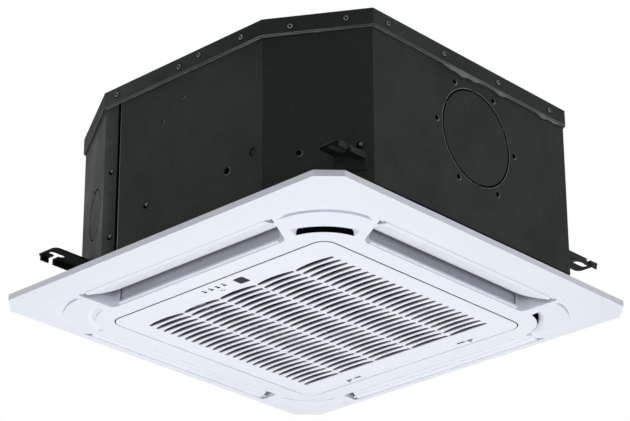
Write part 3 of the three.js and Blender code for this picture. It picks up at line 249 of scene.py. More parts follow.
# a lighter copy of the seal foam for the foam pressed out below the flange: painted light
SEAL_PAINTED_LIGHT = surface("seal_foam_painted_light", (0.21, 0.23, 0.225), (0.15, 0.165, 0.16), 0.3,
                    0.8, 0.95, 500.0, 0.25, specular=0.2)
SEAL = surface("seal_foam", (0.13, 0.145, 0.145), (0.09, 0.10, 0.10), 0.3,
               0.8, 0.95, 500.0, 0.25, specular=0.2)
LINER = surface("liner_foam", (0.50, 0.52, 0.56), (0.45, 0.47, 0.51), 0.15,
                0.75, 0.9, 600.0, 0.12, specular=0.25)
FOAM = surface("black_foam", (0.018, 0.019, 0.020), (0.026, 0.027, 0.028), 0.1,
               0.85, 0.98, 300.0, 0.5, specular=0.2)
PAN = surface("pan_foam", (0.62, 0.64, 0.64), (0.56, 0.58, 0.58), 0.2,
              0.75, 0.92, 260.0, 0.5, specular=0.3)
FINS = surface("fin_aluminium", (0.62, 0.64, 0.66), (0.52, 0.54, 0.56), 0.15,
               0.3, 0.5, 500.0, 0.1, metallic=1.0)
COPPER = surface("copper_tube", (0.72, 0.36, 0.20), (0.50, 0.24, 0.14), 0.3,
                 0.26, 0.48, 400.0, 0.05, dust=(0.2, 0.13, 0.09), metallic=1.0)
DARK = surface("dark_plastic", (0.014, 0.015, 0.017), (0.020, 0.021, 0.023), 0.06,
               0.5, 0.7, 900.0, 0.06, specular=0.2)
STEEL = surface("motor_steel", (0.42, 0.43, 0.45), (0.34, 0.35, 0.37), 0.2,
                0.3, 0.5, 500.0, 0.05, metallic=1.0)
BOX = surface("box_steel", (0.52, 0.53, 0.54), (0.44, 0.45, 0.46), 0.2,
              0.34, 0.52, 500.0, 0.05, metallic=1.0)
WINDOW_GLASS = surface("dark_window", (0.010, 0.012, 0.020), (0.014, 0.016, 0.024), 0.02,
                       0.12, 0.22, 1200.0, 0.005, specular=0.12)
# the filter painted near black: painted shade behind the grille's slots
FILTER_PAINTED_SHADE = surface("filter_painted_shade", (0.0025, 0.0025, 0.003), (0.004, 0.004, 0.0045), 0.01,
                    0.7, 0.9, 800.0, 0.08, specular=0.02)
# near black: painted shade in slots, gaps, dimples and holes, and the dark of the joint and
# knockout cuts
SHADE_AND_JOINT_BLACK = surface("painted_shade_and_joint_black", (0.0015, 0.0015, 0.002), (0.003, 0.003, 0.0035), 0.0,
               0.8, 0.95, 500.0, 0.1, specular=0.0)
# grey for white plastic in shade: painted shade on the latches' recess floors
RECESS_PAINTED_SHADE = surface("recess_painted_shade", (0.24, 0.25, 0.27), (0.20, 0.21, 0.23), 0.2,
                 0.5, 0.7, 900.0, 0.05, specular=0.2)

SLOT_FINISH = {
    "panel_white": PANEL, "vane_white": VANE, "grille_white": GRILLE, "casing_black": CASING,
    "bracket_black": BRACKET, "seal_grey": SEAL, "liner_grey": LINER, "foam_black": FOAM,
    "pan_foam": PAN, "fin_metal": FINS, "copper": COPPER, "dark_plastic": DARK,
    "motor_steel": STEEL, "box_steel": BOX, "dark_window": WINDOW_GLASS, "filter_grey": FILTER_PAINTED_SHADE,
}


def dress_cad_nodes():
    """Gives every CAD node the finish of its material slot."""
    slots = {part["node"]: part["material_slot"] for part in frame["record"]["subparts"]}
    for name, node in frame["nodes"].items():
        material = SLOT_FINISH[slots[name]]
        if not node.material_slots:
            node.data.materials.append(material)
        for slot in node.material_slots:
            slot.material = material


# ---------------------------------------------------------------- making pieces
def add_piece(name, mesh, material, body, slot, *nodes):
    """Adds a mesh to the scene, rides it on a body and lets it stand for the named CAD nodes."""
    mesh.materials.clear()
    mesh.materials.append(material)
    made = bpy.data.objects.new(name, mesh)
    bpy.context.scene.collection.objects.link(made)
    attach(made, body)
    if nodes:
        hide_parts(*nodes)


def smooth_over(mesh, degrees=32.0):
    """Shades a mesh smooth, but for the edges that turn by more than degrees."""
    mesh.shade_smooth()
    mesh.set_sharp_from_angle(angle=math.radians(degrees))
    return mesh


def mesh_from(shape):
    mesh = bpy.data.meshes.new("shape")
    shape.to_mesh(mesh)
    shape.free()
    return mesh


def joined(meshes):
    """One mesh holding every given mesh."""
    shape = bmesh.new()
    for mesh in meshes:
        shape.from_mesh(mesh)
    return mesh_from(shape)


def place_all(name, meshes, material, slot):
    """Joins the meshes into one piece on the cassette."""
    add_piece(name, smooth_over(joined(meshes), 35.0), material, "cassette", slot)


def finished_mesh(mesh, *modifiers):
    """The mesh with the given modifiers applied; each modifier is (type, settings)."""
    holder = bpy.data.objects.new("work_piece", mesh)
    bpy.context.scene.collection.objects.link(holder)
    for kind, settings in modifiers:
        modifier = holder.modifiers.new(kind.lower(), kind)
        for label, value in settings.items():
            setattr(modifier, label, value)
    graph = bpy.context.evaluated_depsgraph_get()
    done = bpy.data.meshes.new_from_object(holder.evaluated_get(graph))
    bpy.data.objects.remove(holder)
    return done


def rounded_edges(width, segments=2):
    return ("BEVEL", {"width": width * MM, "segments": segments, "limit_method": "ANGLE",
                      "angle_limit": math.radians(35.0), "use_clamp_overlap": True,
                      "harden_normals": True})


def carved(mesh, *steps):
    """The mesh after each (operation, other mesh) step."""
    tools, modifiers = [], []
    for operation, other in steps:
        tool = bpy.data.objects.new("work_tool", other)
        bpy.context.scene.collection.objects.link(tool)
        tools.append(tool)
        modifiers.append(("BOOLEAN", {"operation": operation, "object": tool,
                                      "solver": "MANIFOLD"}))
    done = finished_mesh(mesh, *modifiers)
    for tool in tools:
        bpy.data.objects.remove(tool)
    return done


def softened(node, material, slot, width):
    """A CAD node's own shape on the cassette with its sheet or mould edges rounded over."""
    mesh = frame["nodes"][node].data.copy()
    shape = bmesh.new()
    shape.from_mesh(mesh)
    bmesh.ops.remove_doubles(shape, verts=shape.verts, dist=MM / 1000)
    bmesh.ops.dissolve_limit(shape, angle_limit=math.radians(0.6), verts=shape.verts,
                             edges=shape.edges)
    shape.to_mesh(mesh)
    shape.free()
    if mesh.has_custom_normals:
        mesh.normals_split_custom_set([(0.0, 0.0, 0.0)] * len(mesh.loops))
    done = finished_mesh(smooth_over(mesh, 40.0), rounded_edges(width))
    add_piece(node + "_finished", done, material, "cassette", slot, node)


def lifted(flat, low, high, edge):
    """A plate from flat loops, the outline first and then its holes, with its edges rounded."""
    curve = bpy.data.curves.new("plate", "CURVE")
    curve.dimensions = "2D"
    curve.fill_mode = "BOTH"
    for loop in flat:
        spline = curve.splines.new("POLY")
        spline.points.add(len(loop) - 1)
        spline.use_cyclic_u = True
        for point, (x, y) in zip(spline.points, loop):
            point.co = (x * MM, y * MM, 0.0, 1.0)
    curve.extrude = ((high - low) / 2 - edge) * MM
    curve.bevel_depth = edge * MM
    curve.bevel_resolution = 2
    curve.offset = -edge * MM
    holder = bpy.data.objects.new("plate", curve)
    mesh = bpy.data.meshes.new_from_object(holder)
    bpy.data.objects.remove(holder)
    mesh.transform(Matrix.Translation((0, 0, (low + high) / 2 * MM)))
    return mesh


def grid_mesh(rings):
    """A closed skin over rings of points, with the first and the last ring capped."""
    shape = bmesh.new()
    verts = [[shape.verts.new(Vector(p) * MM) for p in ring] for ring in rings]
    for a, b in zip(verts, verts[1:]):
        for j in range(len(a)):
            k = (j + 1) % len(a)
            shape.faces.new((a[j], a[k], b[k], b[j]))
    shape.faces.new(list(reversed(verts[0])))
    shape.faces.new(verts[-1])
    bmesh.ops.recalc_face_normals(shape, faces=shape.faces)
    return mesh_from(shape)


def slab(loop, low, high):
    """An upright prism over a flat loop."""
    return grid_mesh([[(x, y, low) for x, y in loop], [(x, y, high) for x, y in loop]])


def block_mesh(low, high, edge=0.3):
    """A small moulded block with rounded edges."""
    shape = bmesh.new()
    bmesh.ops.create_cube(shape, size=1.0)
    spans = [h - l for l, h in zip(low, high)]
    middle = [(h + l) / 2 for l, h in zip(low, high)]
    for vert in shape.verts:
        vert.co = Vector([(c * s + m) * MM for c, s, m in zip(vert.co, spans, middle)])
    bmesh.ops.bevel(shape, geom=shape.edges[:], offset=min(edge, min(spans) / 3) * MM, segments=2,
                    affect="EDGES", profile=0.5)
    return mesh_from(shape)


def turned_mesh(profile, place, normal, sides=20):
    """A profile of (radius, height) points turned about the normal at a place."""
    normal = Vector(normal).normalized()
    side = normal.orthogonal().normalized()
    other = normal.cross(side)
    rings = []
    for radius, height in profile:
        middle = Vector(place) + normal * height
        turns = [2 * math.pi * k / sides for k in range(sides)]
        rings.append([middle + (side * math.cos(a) + other * math.sin(a)) * max(radius, 0.02)
                      for a in turns])
    return grid_mesh(rings)


def rod_mesh(start, end, radius, sides=20, edge=0.3):
    """A round rod between two points, with its ends eased."""
    along = Vector(end) - Vector(start)
    length = along.length
    return turned_mesh([(radius - edge, 0), (radius, edge), (radius, length - edge),
                        (radius - edge, length)], start, along, sides)


def arc_points(cx, cy, radius, start, end, steps):
    points = []
    for i in range(steps + 1):
        a = math.radians(start + (end - start) * i / steps)
        points.append((cx + radius * math.cos(a), cy + radius * math.sin(a)))
    return points


def rounded_loop(corners, radii, steps=8):
    """An outline with its corners rounded; radii are used in turn, one for each corner."""
    loop = []
    for i, corner in enumerate(corners):
        radius = radii[i % len(radii)]
        here = Vector(corner)
        if radius == 0:
            loop.append(tuple(here))
            continue
        back = (Vector(corners[i - 1]) - here).normalized()
        ahead = (Vector(corners[(i + 1) % len(corners)]) - here).normalized()
        half = back.angle(ahead) / 2
        centre = here + (back + ahead).normalized() * (radius / math.sin(half))
        start = here + back * (radius / math.tan(half)) - centre
        end = here + ahead * (radius / math.tan(half)) - centre
        sweep = start.angle_signed(end)
        for s in range(steps + 1):
            turn = Matrix.Rotation(-sweep * s / steps, 2)
            loop.append(tuple(turn @ start + centre))
    return loop


def rounded_box(x0, y0, x1, y1, radius, steps=3):
    return rounded_loop([(x0, y0), (x1, y0), (x1, y1), (x0, y1)], [radius], steps)


def rounded_square(half, radius):
    return rounded_box(-half, -half, half, half, radius, 10)


def four_sides(mesh):
    """The -Y piece and its copies on the +X, +Y and -X sides."""
    copies = []
    for quarter in range(4):
        copy = mesh.copy()
        copy.transform(Matrix.Rotation(quarter * QUARTER_TURN, 4, "Z"))
        copies.append(copy)
    return copies


# ---------------------------------------------------------------- intake grille
GRILLE_HALF, GRILLE_CORNER, GRILLE_FACE, GRILLE_BACK = 208.0, 20.0, -32.5, -29.6
# a strip of painted shade in the gap round the grille: its outlines and its span in height
GAP_SHADE_OUT, GAP_SHADE_IN, GAP_SHADE_SPAN = (209.7, 21.7), (208.15, 20.15), (-31.95, -28.6)
BAYS, BAY_PITCH, BAY_RIB = 5, 71.7, 2.8
ROWS, ROW_PITCH, ROW_SAG = 24, 14.0, 1.4
SLOT_MIDDLE, SLOT_END, SLOT_CORNER = 9.3, 5.0, 1.2
LATCH_X, LATCH_Y, LATCH_WIDE, LATCH_DEEP = 111.0, 199.5, 38.0, 12.2
WINDOW_X, WINDOW_Y, WINDOW_HALF, WINDOW_GAP = 33.0, -186.5, 9.0, 0.2
# behind the face: the stiffening rim's outlines (half size and corner), the slotted field, the
# bay ribs, the hinge pins with their lugs and the filter's posts
STIFF_OUT, STIFF_IN, STIFF_TOP = (205.5, 17.5), (203.5, 15.5), -23.8
FIELD_X, FIELD_Y, FIELD_CORNER = 180.5, 166.5, 3.0
BACK_RIB_HALF, BACK_RIB_END, BACK_RIB_TOP = 0.9, 168.0, -26.9
HINGE_Y, HINGE_Z, PIN_FROM, PIN_TO, PIN_RADIUS = -186.0, -25.8, 204.0, 212.9, 2.0
LUG_X, LUG_HALF_X, LUG_HALF_Y, LUG_TOP = 204.5, 1.0, 6.0, -20.8
POST_X, POST_PLACES, POST_TOP, POST_RADIUS = 184.2, (-159.0, 178.0), -22.9, 3.0


def slot_loop(x_mid, y_mid):
    """One air slot: a bowed near edge, a nearly straight far edge and small round corners."""
    half = (BAY_PITCH - BAY_RIB) / 2
    far = y_mid + SLOT_MIDDLE / 2
    near = [(x_mid + half * t, far - SLOT_MIDDLE + (SLOT_MIDDLE - SLOT_END) * t * t)
            for t in (-1, -0.75, -0.5, -0.25, 0, 0.25, 0.5, 0.75, 1)]
    back = [(x_mid + half * t, far) for t in (1, -1)]
    return rounded_loop(near + back, [SLOT_CORNER] + [0] * (len(near) - 2) + [SLOT_CORNER] * 3, 3)


def grille_slots():
    slots = []
    for row in range(ROWS):
        for bay in range(BAYS):
            x = (bay - (BAYS - 1) / 2) * BAY_PITCH
            y = (row - (ROWS - 1) / 2) * ROW_PITCH
            slots.append(slot_loop(x, y - ROW_SAG * (0.5 - (x / (2 * BAY_PITCH)) ** 2)))
    return slots


def latch_box(middle, gap):
    """A latch's outline, drawn in by gap: its lowest x and y, then its highest."""
    return (middle - LATCH_WIDE / 2 + gap, LATCH_Y - LATCH_DEEP / 2 + gap,
            middle + LATCH_WIDE / 2 - gap, LATCH_Y + LATCH_DEEP / 2 - gap)


def window_box(gap):
    half = WINDOW_HALF + gap
    return WINDOW_X - half, WINDOW_Y - half, WINDOW_X + half, WINDOW_Y + half


def make_grille():
    """The slotted face with its holes, and what stands behind it."""
    root = GRILLE_BACK - 0.3
    holes = [rounded_box(*window_box(WINDOW_GAP), 3.0, 5)]
    holes += [rounded_box(*latch_box(middle, 0.0), 1.0) for middle in (-LATCH_X, LATCH_X)]
    face = lifted([rounded_square(GRILLE_HALF, GRILLE_CORNER), *grille_slots(), *holes],
                  GRILLE_FACE, GRILLE_BACK, 0.28)
    stiff = lifted([rounded_square(*STIFF_OUT), rounded_square(*STIFF_IN)], root, STIFF_TOP, 0.2)
    field = lifted([rounded_box(-FIELD_X, -FIELD_Y, FIELD_X, FIELD_Y, FIELD_CORNER),
                    *grille_slots()], GRILLE_BACK - 0.4, GRILLE_BACK + 0.7, 0.1)
    parts = [face, stiff, field]
    for side in (-1, 1):
        lug = side * LUG_X
        parts.append(block_mesh((lug - LUG_HALF_X, HINGE_Y - LUG_HALF_Y, root),
                                (lug + LUG_HALF_X, HINGE_Y + LUG_HALF_Y, LUG_TOP)))
        parts.append(rod_mesh((side * PIN_FROM, HINGE_Y, HINGE_Z),
                              (side * PIN_TO, HINGE_Y, HINGE_Z), PIN_RADIUS, 16))
        for post_y in POST_PLACES:
            parts.append(rod_mesh((side * POST_X, post_y, root),
                                  (side * POST_X, post_y, POST_TOP), POST_RADIUS, 16))
    for rib in range(1, BAYS):
        x = (rib - BAYS / 2) * BAY_PITCH
        parts.append(block_mesh((x - BACK_RIB_HALF, -BACK_RIB_END, GRILLE_BACK - 0.2),
                                (x + BACK_RIB_HALF, BACK_RIB_END, BACK_RIB_TOP)))
    add_piece("intake_grille_finished", smooth_over(joined(parts)), GRILLE, "grille",
              "grille_white", "intake_grille")


# ---------------------------------------------------------------- vanes
VANE_OUT, VANE_HEIGHT, VANE_TILT = 282.4, -17.4, 19.5
VANE_NOSE, VANE_TAIL_AT, VANE_THICK = 5.2, 41.5, 2.0
VANE_HALF, VANE_TAPER, VANE_PIN_END, VANE_PIN_RADIUS = 176.5, 0.16, 188.3, 2.0
# in plan the vane's corners are rounded by these, and its tail's edge is eased from EASE_FROM on
NOSE_CORNER, TAIL_CORNER, EASE_FROM, EASE_SLOPE = 6.2, 27.0, 40.4, 0.75
GROOVES, GROOVE_BOTTOM, GROOVE_TOP, GROOVE_DEPTH = (6.0, 13.0, 20.0, 27.0, 34.0), 0.2, 0.5, 0.6


def corner_loss(into, radius):
    """What a round corner takes off the length at a distance into it."""
    return radius - math.sqrt(max(radius ** 2 - into ** 2, 0.0))


def vane_half_length(u):
    """Half the vane's length at a distance u inward of its axis."""
    half = VANE_HALF - VANE_TAPER * (u + VANE_NOSE)
    into_tail = u - (VANE_TAIL_AT - TAIL_CORNER)
    if into_tail > 0:
        half -= corner_loss(into_tail, TAIL_CORNER)
    if u < 1.0:
        half -= corner_loss(1.0 - u, NOSE_CORNER)
    return half


def vane_section():
    """Triples (u, upper, under) from the nose to the tail; fine grooves run along the underside."""
    stations = [-5.2, -5.0, -4.4, -3.4, -2.0, 0.0, 2.0, 4.0, 9.5, 16.5, 23.5, 30.5,
                36.0, 37.5, 38.8, 39.8, 40.6, 41.1, 41.4]
    bottoms = {middle + side * GROOVE_BOTTOM for middle in GROOVES for side in (-1, 1)}
    stations += [*bottoms, *(middle + side * GROOVE_TOP for middle in GROOVES for side in (-1, 1))]
    section = []
    for u in sorted(stations):
        if u < 0:
            upper = math.sqrt(max(VANE_NOSE ** 2 - u ** 2, 0.0))
            under = -upper
        else:
            under = -VANE_NOSE
            slim = (1 - u / VANE_TAIL_AT) ** 1.6
            upper = VANE_NOSE * slim + (VANE_THICK - VANE_NOSE) * (1 - slim)
        if u in bottoms:
            under += GROOVE_DEPTH
        ease = max(u - EASE_FROM, 0.0) * EASE_SLOPE
        section.append((u, upper - ease, under + ease))
    return section


def make_vane(index):
    """The vane and its pin, turned from the -Y side by quarter turns."""
    tilt = math.radians(VANE_TILT)
    rings = []
    for u, upper, under in vane_section():
        half = vane_half_length(u)
        ring = []
        for x, v in ((-half, under), (half, under), (half, upper), (-half, upper)):
            across = u * math.cos(tilt) - v * math.sin(tilt)
            height = u * math.sin(tilt) + v * math.cos(tilt)
            ring.append((x, -VANE_OUT + across, VANE_HEIGHT + height))
        rings.append(ring)
    pin = rod_mesh((-VANE_PIN_END, -VANE_OUT, VANE_HEIGHT), (VANE_PIN_END, -VANE_OUT, VANE_HEIGHT),
                   VANE_PIN_RADIUS)
    mesh = smooth_over(joined([grid_mesh(rings), pin]), 30.0)
    mesh.transform(Matrix.Rotation(index * QUARTER_TURN, 4, "Z"))
    number = index + 1
    add_piece(f"louver_{number}_finished", mesh, VANE, f"vane_{number}", "vane_white",
              f"louver_{number}")


# ---------------------------------------------------------------- latches
LATCH_GAP, LATCH_BACK_TOP = 0.12, -27.2
TONGUE_HALF, TONGUE_END, TONGUE_LOW, TONGUE_TOP = 6.0, 208.8, -28.9, -27.1
MARK_INSET, MARK_FAR_INSET, MARK_SLOT_TOP = 0.6, 0.5, 4.2


def make_latch(number, outward, body, shift):
    """A flush slide with a three-cornered finger recess towards its outer end and a slot towards
    its inner end; outward is the side of x, and shift moves both marks inward."""
    middle = outward * LATCH_X
    marks = middle - outward * shift
    x0, y0, x1, y1 = latch_box(middle, LATCH_GAP)
    low, high, slot_top = y0 + MARK_INSET, y1 - MARK_FAR_INSET, y0 + MARK_SLOT_TOP
    if outward > 0:
        recess, near, far = [(16.5, low), (4.0, high), (2.0, low)], -15.5, -0.5
    else:
        recess, near, far = [(-12.5, low), (1.2, low), (-15.5, high)], 2.5, 15.0
    recess = rounded_loop([(marks + x, y) for x, y in recess], [0.8], 2)
    slot = rounded_box(marks + near, low, marks + far, slot_top, 0.6, 2)
    face = lifted([rounded_box(x0, y0, x1, y1, 0.9), recess, slot],
                  GRILLE_FACE + 0.05, GRILLE_BACK, 0.15)
    back = block_mesh((x0 + 1, y0 + 0.5, GRILLE_BACK - 0.3), (x1 - 1, y1 - 0.4, LATCH_BACK_TOP))
    tongue = block_mesh((middle - TONGUE_HALF, y1 - 1.5, TONGUE_LOW),
                        (middle + TONGUE_HALF, TONGUE_END, TONGUE_TOP))
    add_piece(f"latch_{number}_finished", smooth_over(joined([face, back, tongue])), GRILLE, body,
              "grille_white", f"latch_{number}")
    # painted shade: a near-black block behind each latch's slot
    slot_shade_block = block_mesh((marks + near + 0.1, y0 + 0.8, GRILLE_FACE + 0.45),
                      (marks + far - 0.1, y0 + 4.1, GRILLE_BACK - 0.2), 0.1)
    add_piece(f"latch_{number}_slot_shadow", slot_shade_block, SHADE_AND_JOINT_BLACK, body, "foam_black")
    # the recess floor is grey: painted shade
    floor = lifted([recess], GRILLE_FACE + 0.5, GRILLE_BACK - 0.2, 0.05)
    add_piece(f"latch_{number}_recess_floor", floor, RECESS_PAINTED_SHADE, body, "grille_white")


# ---------------------------------------------------------------- display
WINDOW_PROUD, WINDOW_TOP = 0.2, -29.7
LAMP_DOTS, LAMP_Y = (-32.6, -19.6, -7.4, 5.0), -190.6
TICK_LEFT, TICK_RIGHT, TICK_LOW, TICK_HIGH = -3.0, 2.4, -196.6, -194.2
LAMP_MARKS = ((-11.5, -180.0), (-7.6, -178.6))


def lamp_dot(name, x, y, radius, sides, proud, edge):
    """A dark round lamp cover, a little proud of the grille's face."""
    dot = rod_mesh((x, y, GRILLE_FACE - proud), (x, y, GRILLE_FACE + 1.0), radius, sides, edge)
    add_piece(name, smooth_over(dot), WINDOW_GLASS, "grille", "dark_window")


def make_display():
    """The dark window and the plain lamp dots, each with a bar beside it."""
    glass = lifted([rounded_box(*window_box(0.0), 2.8, 6)], GRILLE_FACE + WINDOW_PROUD,
                   WINDOW_TOP, 0.3)
    add_piece("sensor_window_finished", smooth_over(glass), WINDOW_GLASS, "grille", "dark_window",
              "sensor_window")
    for number, x in enumerate(LAMP_DOTS, 1):
        lamp_dot(f"lamp_dot_{number}", x, LAMP_Y, 2.7, 20, 0.15, 0.12)
        tick = lifted([rounded_box(x + TICK_LEFT, TICK_LOW, x + TICK_RIGHT, TICK_HIGH, 0.7)],
                      GRILLE_FACE - 0.08, GRILLE_FACE + 0.3, 0.05)
        add_piece(f"lamp_tick_{number}", tick, WINDOW_GLASS, "grille", "dark_window")
    for number, (x, y) in enumerate(LAMP_MARKS, 1):
        lamp_dot(f"lamp_mark_{number}", x, y, 1.5, 16, 0.12, 0.1)


# ---------------------------------------------------------------- panel
PANEL_HALF, CORNER_CUT, RIM_Z, FACE_Z, LIP_Z = 323.5, 28.8, -8.8, -31.8, -21.3
OUTLET_IN, OUTLET_OUT, OUTLET_HALF_IN, OUTLET_HALF_OUT = 239.0, 288.0, 167.0, 187.0
OUTLET_SLOPE = (OUTLET_HALF_OUT - OUTLET_HALF_IN) / (OUTLET_OUT - OUTLET_IN)
# the corner slots: their arcs' centre, radii and first angle, and the height their walls reach
SLOT_CENTRE, SLOT_IN, SLOT_OUT, SLOT_FROM, SLOT_TOP = 171.3, 72.0, 86.2, 12.5, 14.0
LINING_IN, LINING_OUT, LINING_LOW, LINING_OVER_BLANK = 71.6, 72.5, -31.1, -24.6
# the centres of the round corners of the flat face and of the lip outside the outlets
FACE_CENTRE, LIP_CENTRE = 173.0, 196.0
# the corner covers stand proud by COVER_STEP, which fades over COVER_FADE outside their arc
COVER_CENTRE, COVER_RADIUS, COVER_STEP, COVER_FADE = 193.5, 86.0, 3.4, 26.0
FRAME_OPENING, FRAME_CORNER = 209.4, 21.4
# solids reach up to BACK_Z, and cutters run from CUT_LOW to CUT_HIGH
BACK_Z, CUT_LOW, CUT_HIGH = 60.0, -60.0, 60.0
# where a skin's sides move in by 1 mm, its straight corner cuts get shorter by 2 - sqrt(2)
CUT_SHRINK = 0.586
# how deep in from the panel's lower surface these go: the skin, the covers' seats, the covers and
# their screws' pockets; what stands on the skin begins ATTACH deep
SKIN_DEPTH, SKIN_WALL, SEAT_DEPTH, COVER_DEPTH, POCKET_DEPTH, ATTACH = 3.0, 4.5, 2.6, 2.3, 1.4, 1.0
COLLAR_OUT, COLLAR_TOP, PAD_MARGIN, PAD_TOP = (212.3, 24.3), -18.0, 3.0, -16.0
PANEL_RIBS = (-250.0, -83.3, 83.3, 250.0)
PANEL_RIB_OUT, PANEL_RIB_IN, PANEL_RIB_TOP = -321.5, -290.0, -2.0
BOSS_FROM, BOSS_TO, BOSS_RADIUS = 210.3, 215.8, 5.2
DUCT_WALL, DUCT_CLEAR, DUCT_TOP, DUCT_FLANGE_LOW, DUCT_FLANGE_MARGIN = 2.5, 0.15, 18.0, 15.5, 9.0
THROAT_BOX = (-160.0, -272.0, 160.0, -219.0)
# the part of a duct's inner wall that is left out for the foam liner
LINER_GAP = (-154.8, -239.01, -23.8), (154.8, -209.0, 19.0)
LEDGE_HALF, LEDGE = 154.0, ((-238.7, -30.6), (-241.5, -28.2), (-241.3, -27.6), (-238.7, -27.4))


def level_line(half, centre, z, corner_cut=0.0):
    """A level line of the panel: a square with its corners round about a centre, or cut off."""
    steps = 14
    line = []
    for corner in range(4):
        turn = Matrix.Rotation(-corner * QUARTER_TURN, 2)
        for i in range(steps + 1):
            t = i / steps
            a = t * QUARTER_TURN
            if corner_cut:
                p = Vector((half - t * corner_cut, half - (1 - t) * corner_cut))
            else:
                p = Vector((centre + (half - centre) * math.cos(a),
                            centre + (half - centre) * math.sin(a)))
            p = p @ turn
            line.append((p.x, p.y, z))
    return line


def between(first, second, count):
    """The lines from first up to, and not including, second."""
    return [[tuple(Vector(p).lerp(Vector(q), k / count)) for p, q in zip(first, second)]
            for k in range(count)]


def over_surface(lift, wall, top):
    """All that is above the panel's lower surface raised by lift, drawn in by wall at the rim."""
    slope = (LIP_Z - RIM_Z) / (PANEL_HALF - OUTLET_OUT)
    corner_cut = CORNER_CUT - wall * CUT_SHRINK
    face = level_line(OUTLET_IN, FACE_CENTRE, lift + FACE_Z)
    lip = level_line(OUTLET_OUT, LIP_CENTRE, lift + LIP_Z)
    rim = level_line(PANEL_HALF - wall, 0.0, lift + RIM_Z + wall * slope, corner_cut)
    back = level_line(PANEL_HALF - wall, 0.0, top, corner_cut)
    return grid_mesh(between(face, lip, 6) + between(lip, rim, 6) + [rim, back])


def cutter(loop, high=CUT_HIGH):
    return slab(loop, CUT_LOW, high)


def outlet_loop(margin):
    near, far = OUTLET_IN - margin, OUTLET_OUT + margin
    half_near = OUTLET_HALF_IN - margin * OUTLET_SLOPE + margin
    half_far = OUTLET_HALF_OUT + margin * OUTLET_SLOPE + margin
    corners = [(-half_far, -far), (half_far, -far), (half_near, -near), (-half_near, -near)]
    return rounded_loop(corners, [2.0 + margin, 2.0 + margin, 12.0 + margin, 12.0 + margin])


def slot_ring(inner, outer, start, end):
    """A stretch of a corner slot's ring, from the start to the end angle."""
    return (arc_points(SLOT_CENTRE, SLOT_CENTRE, outer, start, end, 18)
            + arc_points(SLOT_CENTRE, SLOT_CENTRE, inner, end, start, 18))


def cover_loop(margin):
    inner = SLOT_OUT + 0.4 - margin
    edge = COVER_CENTRE + COVER_RADIUS + margin
    side = OUTLET_HALF_IN + (edge - OUTLET_IN) * OUTLET_SLOPE + 4.5 - margin
    trim = 5.6 - margin * 0.6
    return [*arc_points(SLOT_CENTRE, SLOT_CENTRE, inner, 90 - trim, trim, 14), (edge, side),
            *arc_points(COVER_CENTRE, COVER_CENTRE, COVER_RADIUS + margin, 0, 90, 24), (side, edge)]


def surface_heights():
    """A function that gives the height of the panel's lower surface at a place."""
    shape = bmesh.new()
    shape.from_mesh(over_surface(0.0, 0.0, BACK_Z))
    tree = BVHTree.FromBMesh(shape)
    shape.free()

    def height(x, y):
        return tree.ray_cast(Vector((x * MM, y * MM, -1.0)), Vector((0, 0, 1)))[0].z / MM
    return height


def swept_corner(centre, section, start, end):
    """Sweeps (radius, lift above the panel's surface) points around an arc of the +X +Y corner."""
    height = surface_heights()
    steps = 36
    rings = []
    for k in range(steps + 1):
        a = math.radians(start + (end - start) * k / steps)
        ring = []
        for radius, lift in section:
            x, y = centre + radius * math.cos(a), centre + radius * math.sin(a)
            ring.append((x, y, height(x, y) + lift))
        rings.append(ring)
    return grid_mesh(rings)


def slot_scoop():
    """The corner slot's outer wall, which curves in and up from the face."""
    section = [(86.25, 0.0), (85.2, 0.2), (83.6, 1.1), (81.0, 3.2), (78.2, 5.7), (75.6, 8.4),
               (73.6, 11.2), (72.7, 14.0), (74.7, 14.0), (86.25, 5.0)]
    return swept_corner(SLOT_CENTRE, section, SLOT_FROM - 1, 91 - SLOT_FROM)


def slot_blank():
    """What closes the corner at -X -Y behind its slot."""
    section = [(71.8, 1.5), (74.5, 2.6), (77.5, 4.6), (80.5, 6.4), (84.0, 7.4), (84.0, 9.0),
               (71.8, 9.0)]
    blank = swept_corner(SLOT_CENTRE, section, SLOT_FROM + 0.3, 89.7 - SLOT_FROM)
    blank.transform(Matrix.Rotation(math.pi, 4, "Z"))
    return blank


def end_ramps():
    """The sloped ends of a corner slot."""
    inner, outer, long, steps = 71.5, 86.0, 3.5, 6
    ramps = []
    for start, turn in ((SLOT_FROM, long), (90 - SLOT_FROM, -long)):
        rings = []
        for i in range(steps + 1):
            t = i / steps
            a = math.radians(start + turn * t)
            section = ((inner, -31.0 + 8 * t), (outer, -27.8 + 6 * t), (outer, -8.0 + t),
                       (inner, -8.0 + t))
            rings.append([(SLOT_CENTRE + r * math.cos(a), SLOT_CENTRE + r * math.sin(a), z)
                          for r, z in section])
        ramps.append(grid_mesh(rings))
    return ramps


def smooth_fade(value):
    t = min(max(value, 0.0), 1.0)
    return 1.0 - t * t * (3.0 - 2.0 * t)


def dip_around_covers(mesh):
    """Raises the frame's surface just outside each cover's arc, so that the cover stands proud."""
    for vert in mesh.vertices:
        x, y = abs(vert.co.x) / MM - COVER_CENTRE, abs(vert.co.y) / MM - COVER_CENTRE
        if x <= 0 or y <= 0 or vert.co.z > 0:
            continue
        beyond = math.hypot(x, y) - COVER_RADIUS
        degrees = math.degrees(math.atan2(y, x))
        near_end = min(degrees - 1.5, 88.5 - degrees)
        if beyond > -0.05 and near_end > 0:
            fade = smooth_fade(beyond / COVER_FADE) * min(1.0, near_end / 3.0)
            vert.co.z += COVER_STEP * fade * MM


def cover_screw_hole(beyond, radius):
    """A cutter on the corner's diagonal, just beyond the cover's arc."""
    reach = COVER_CENTRE + (COVER_RADIUS + beyond) * math.sqrt(0.5)
    return rod_mesh((reach, reach, -50), (reach, reach, 10), radius, 16)


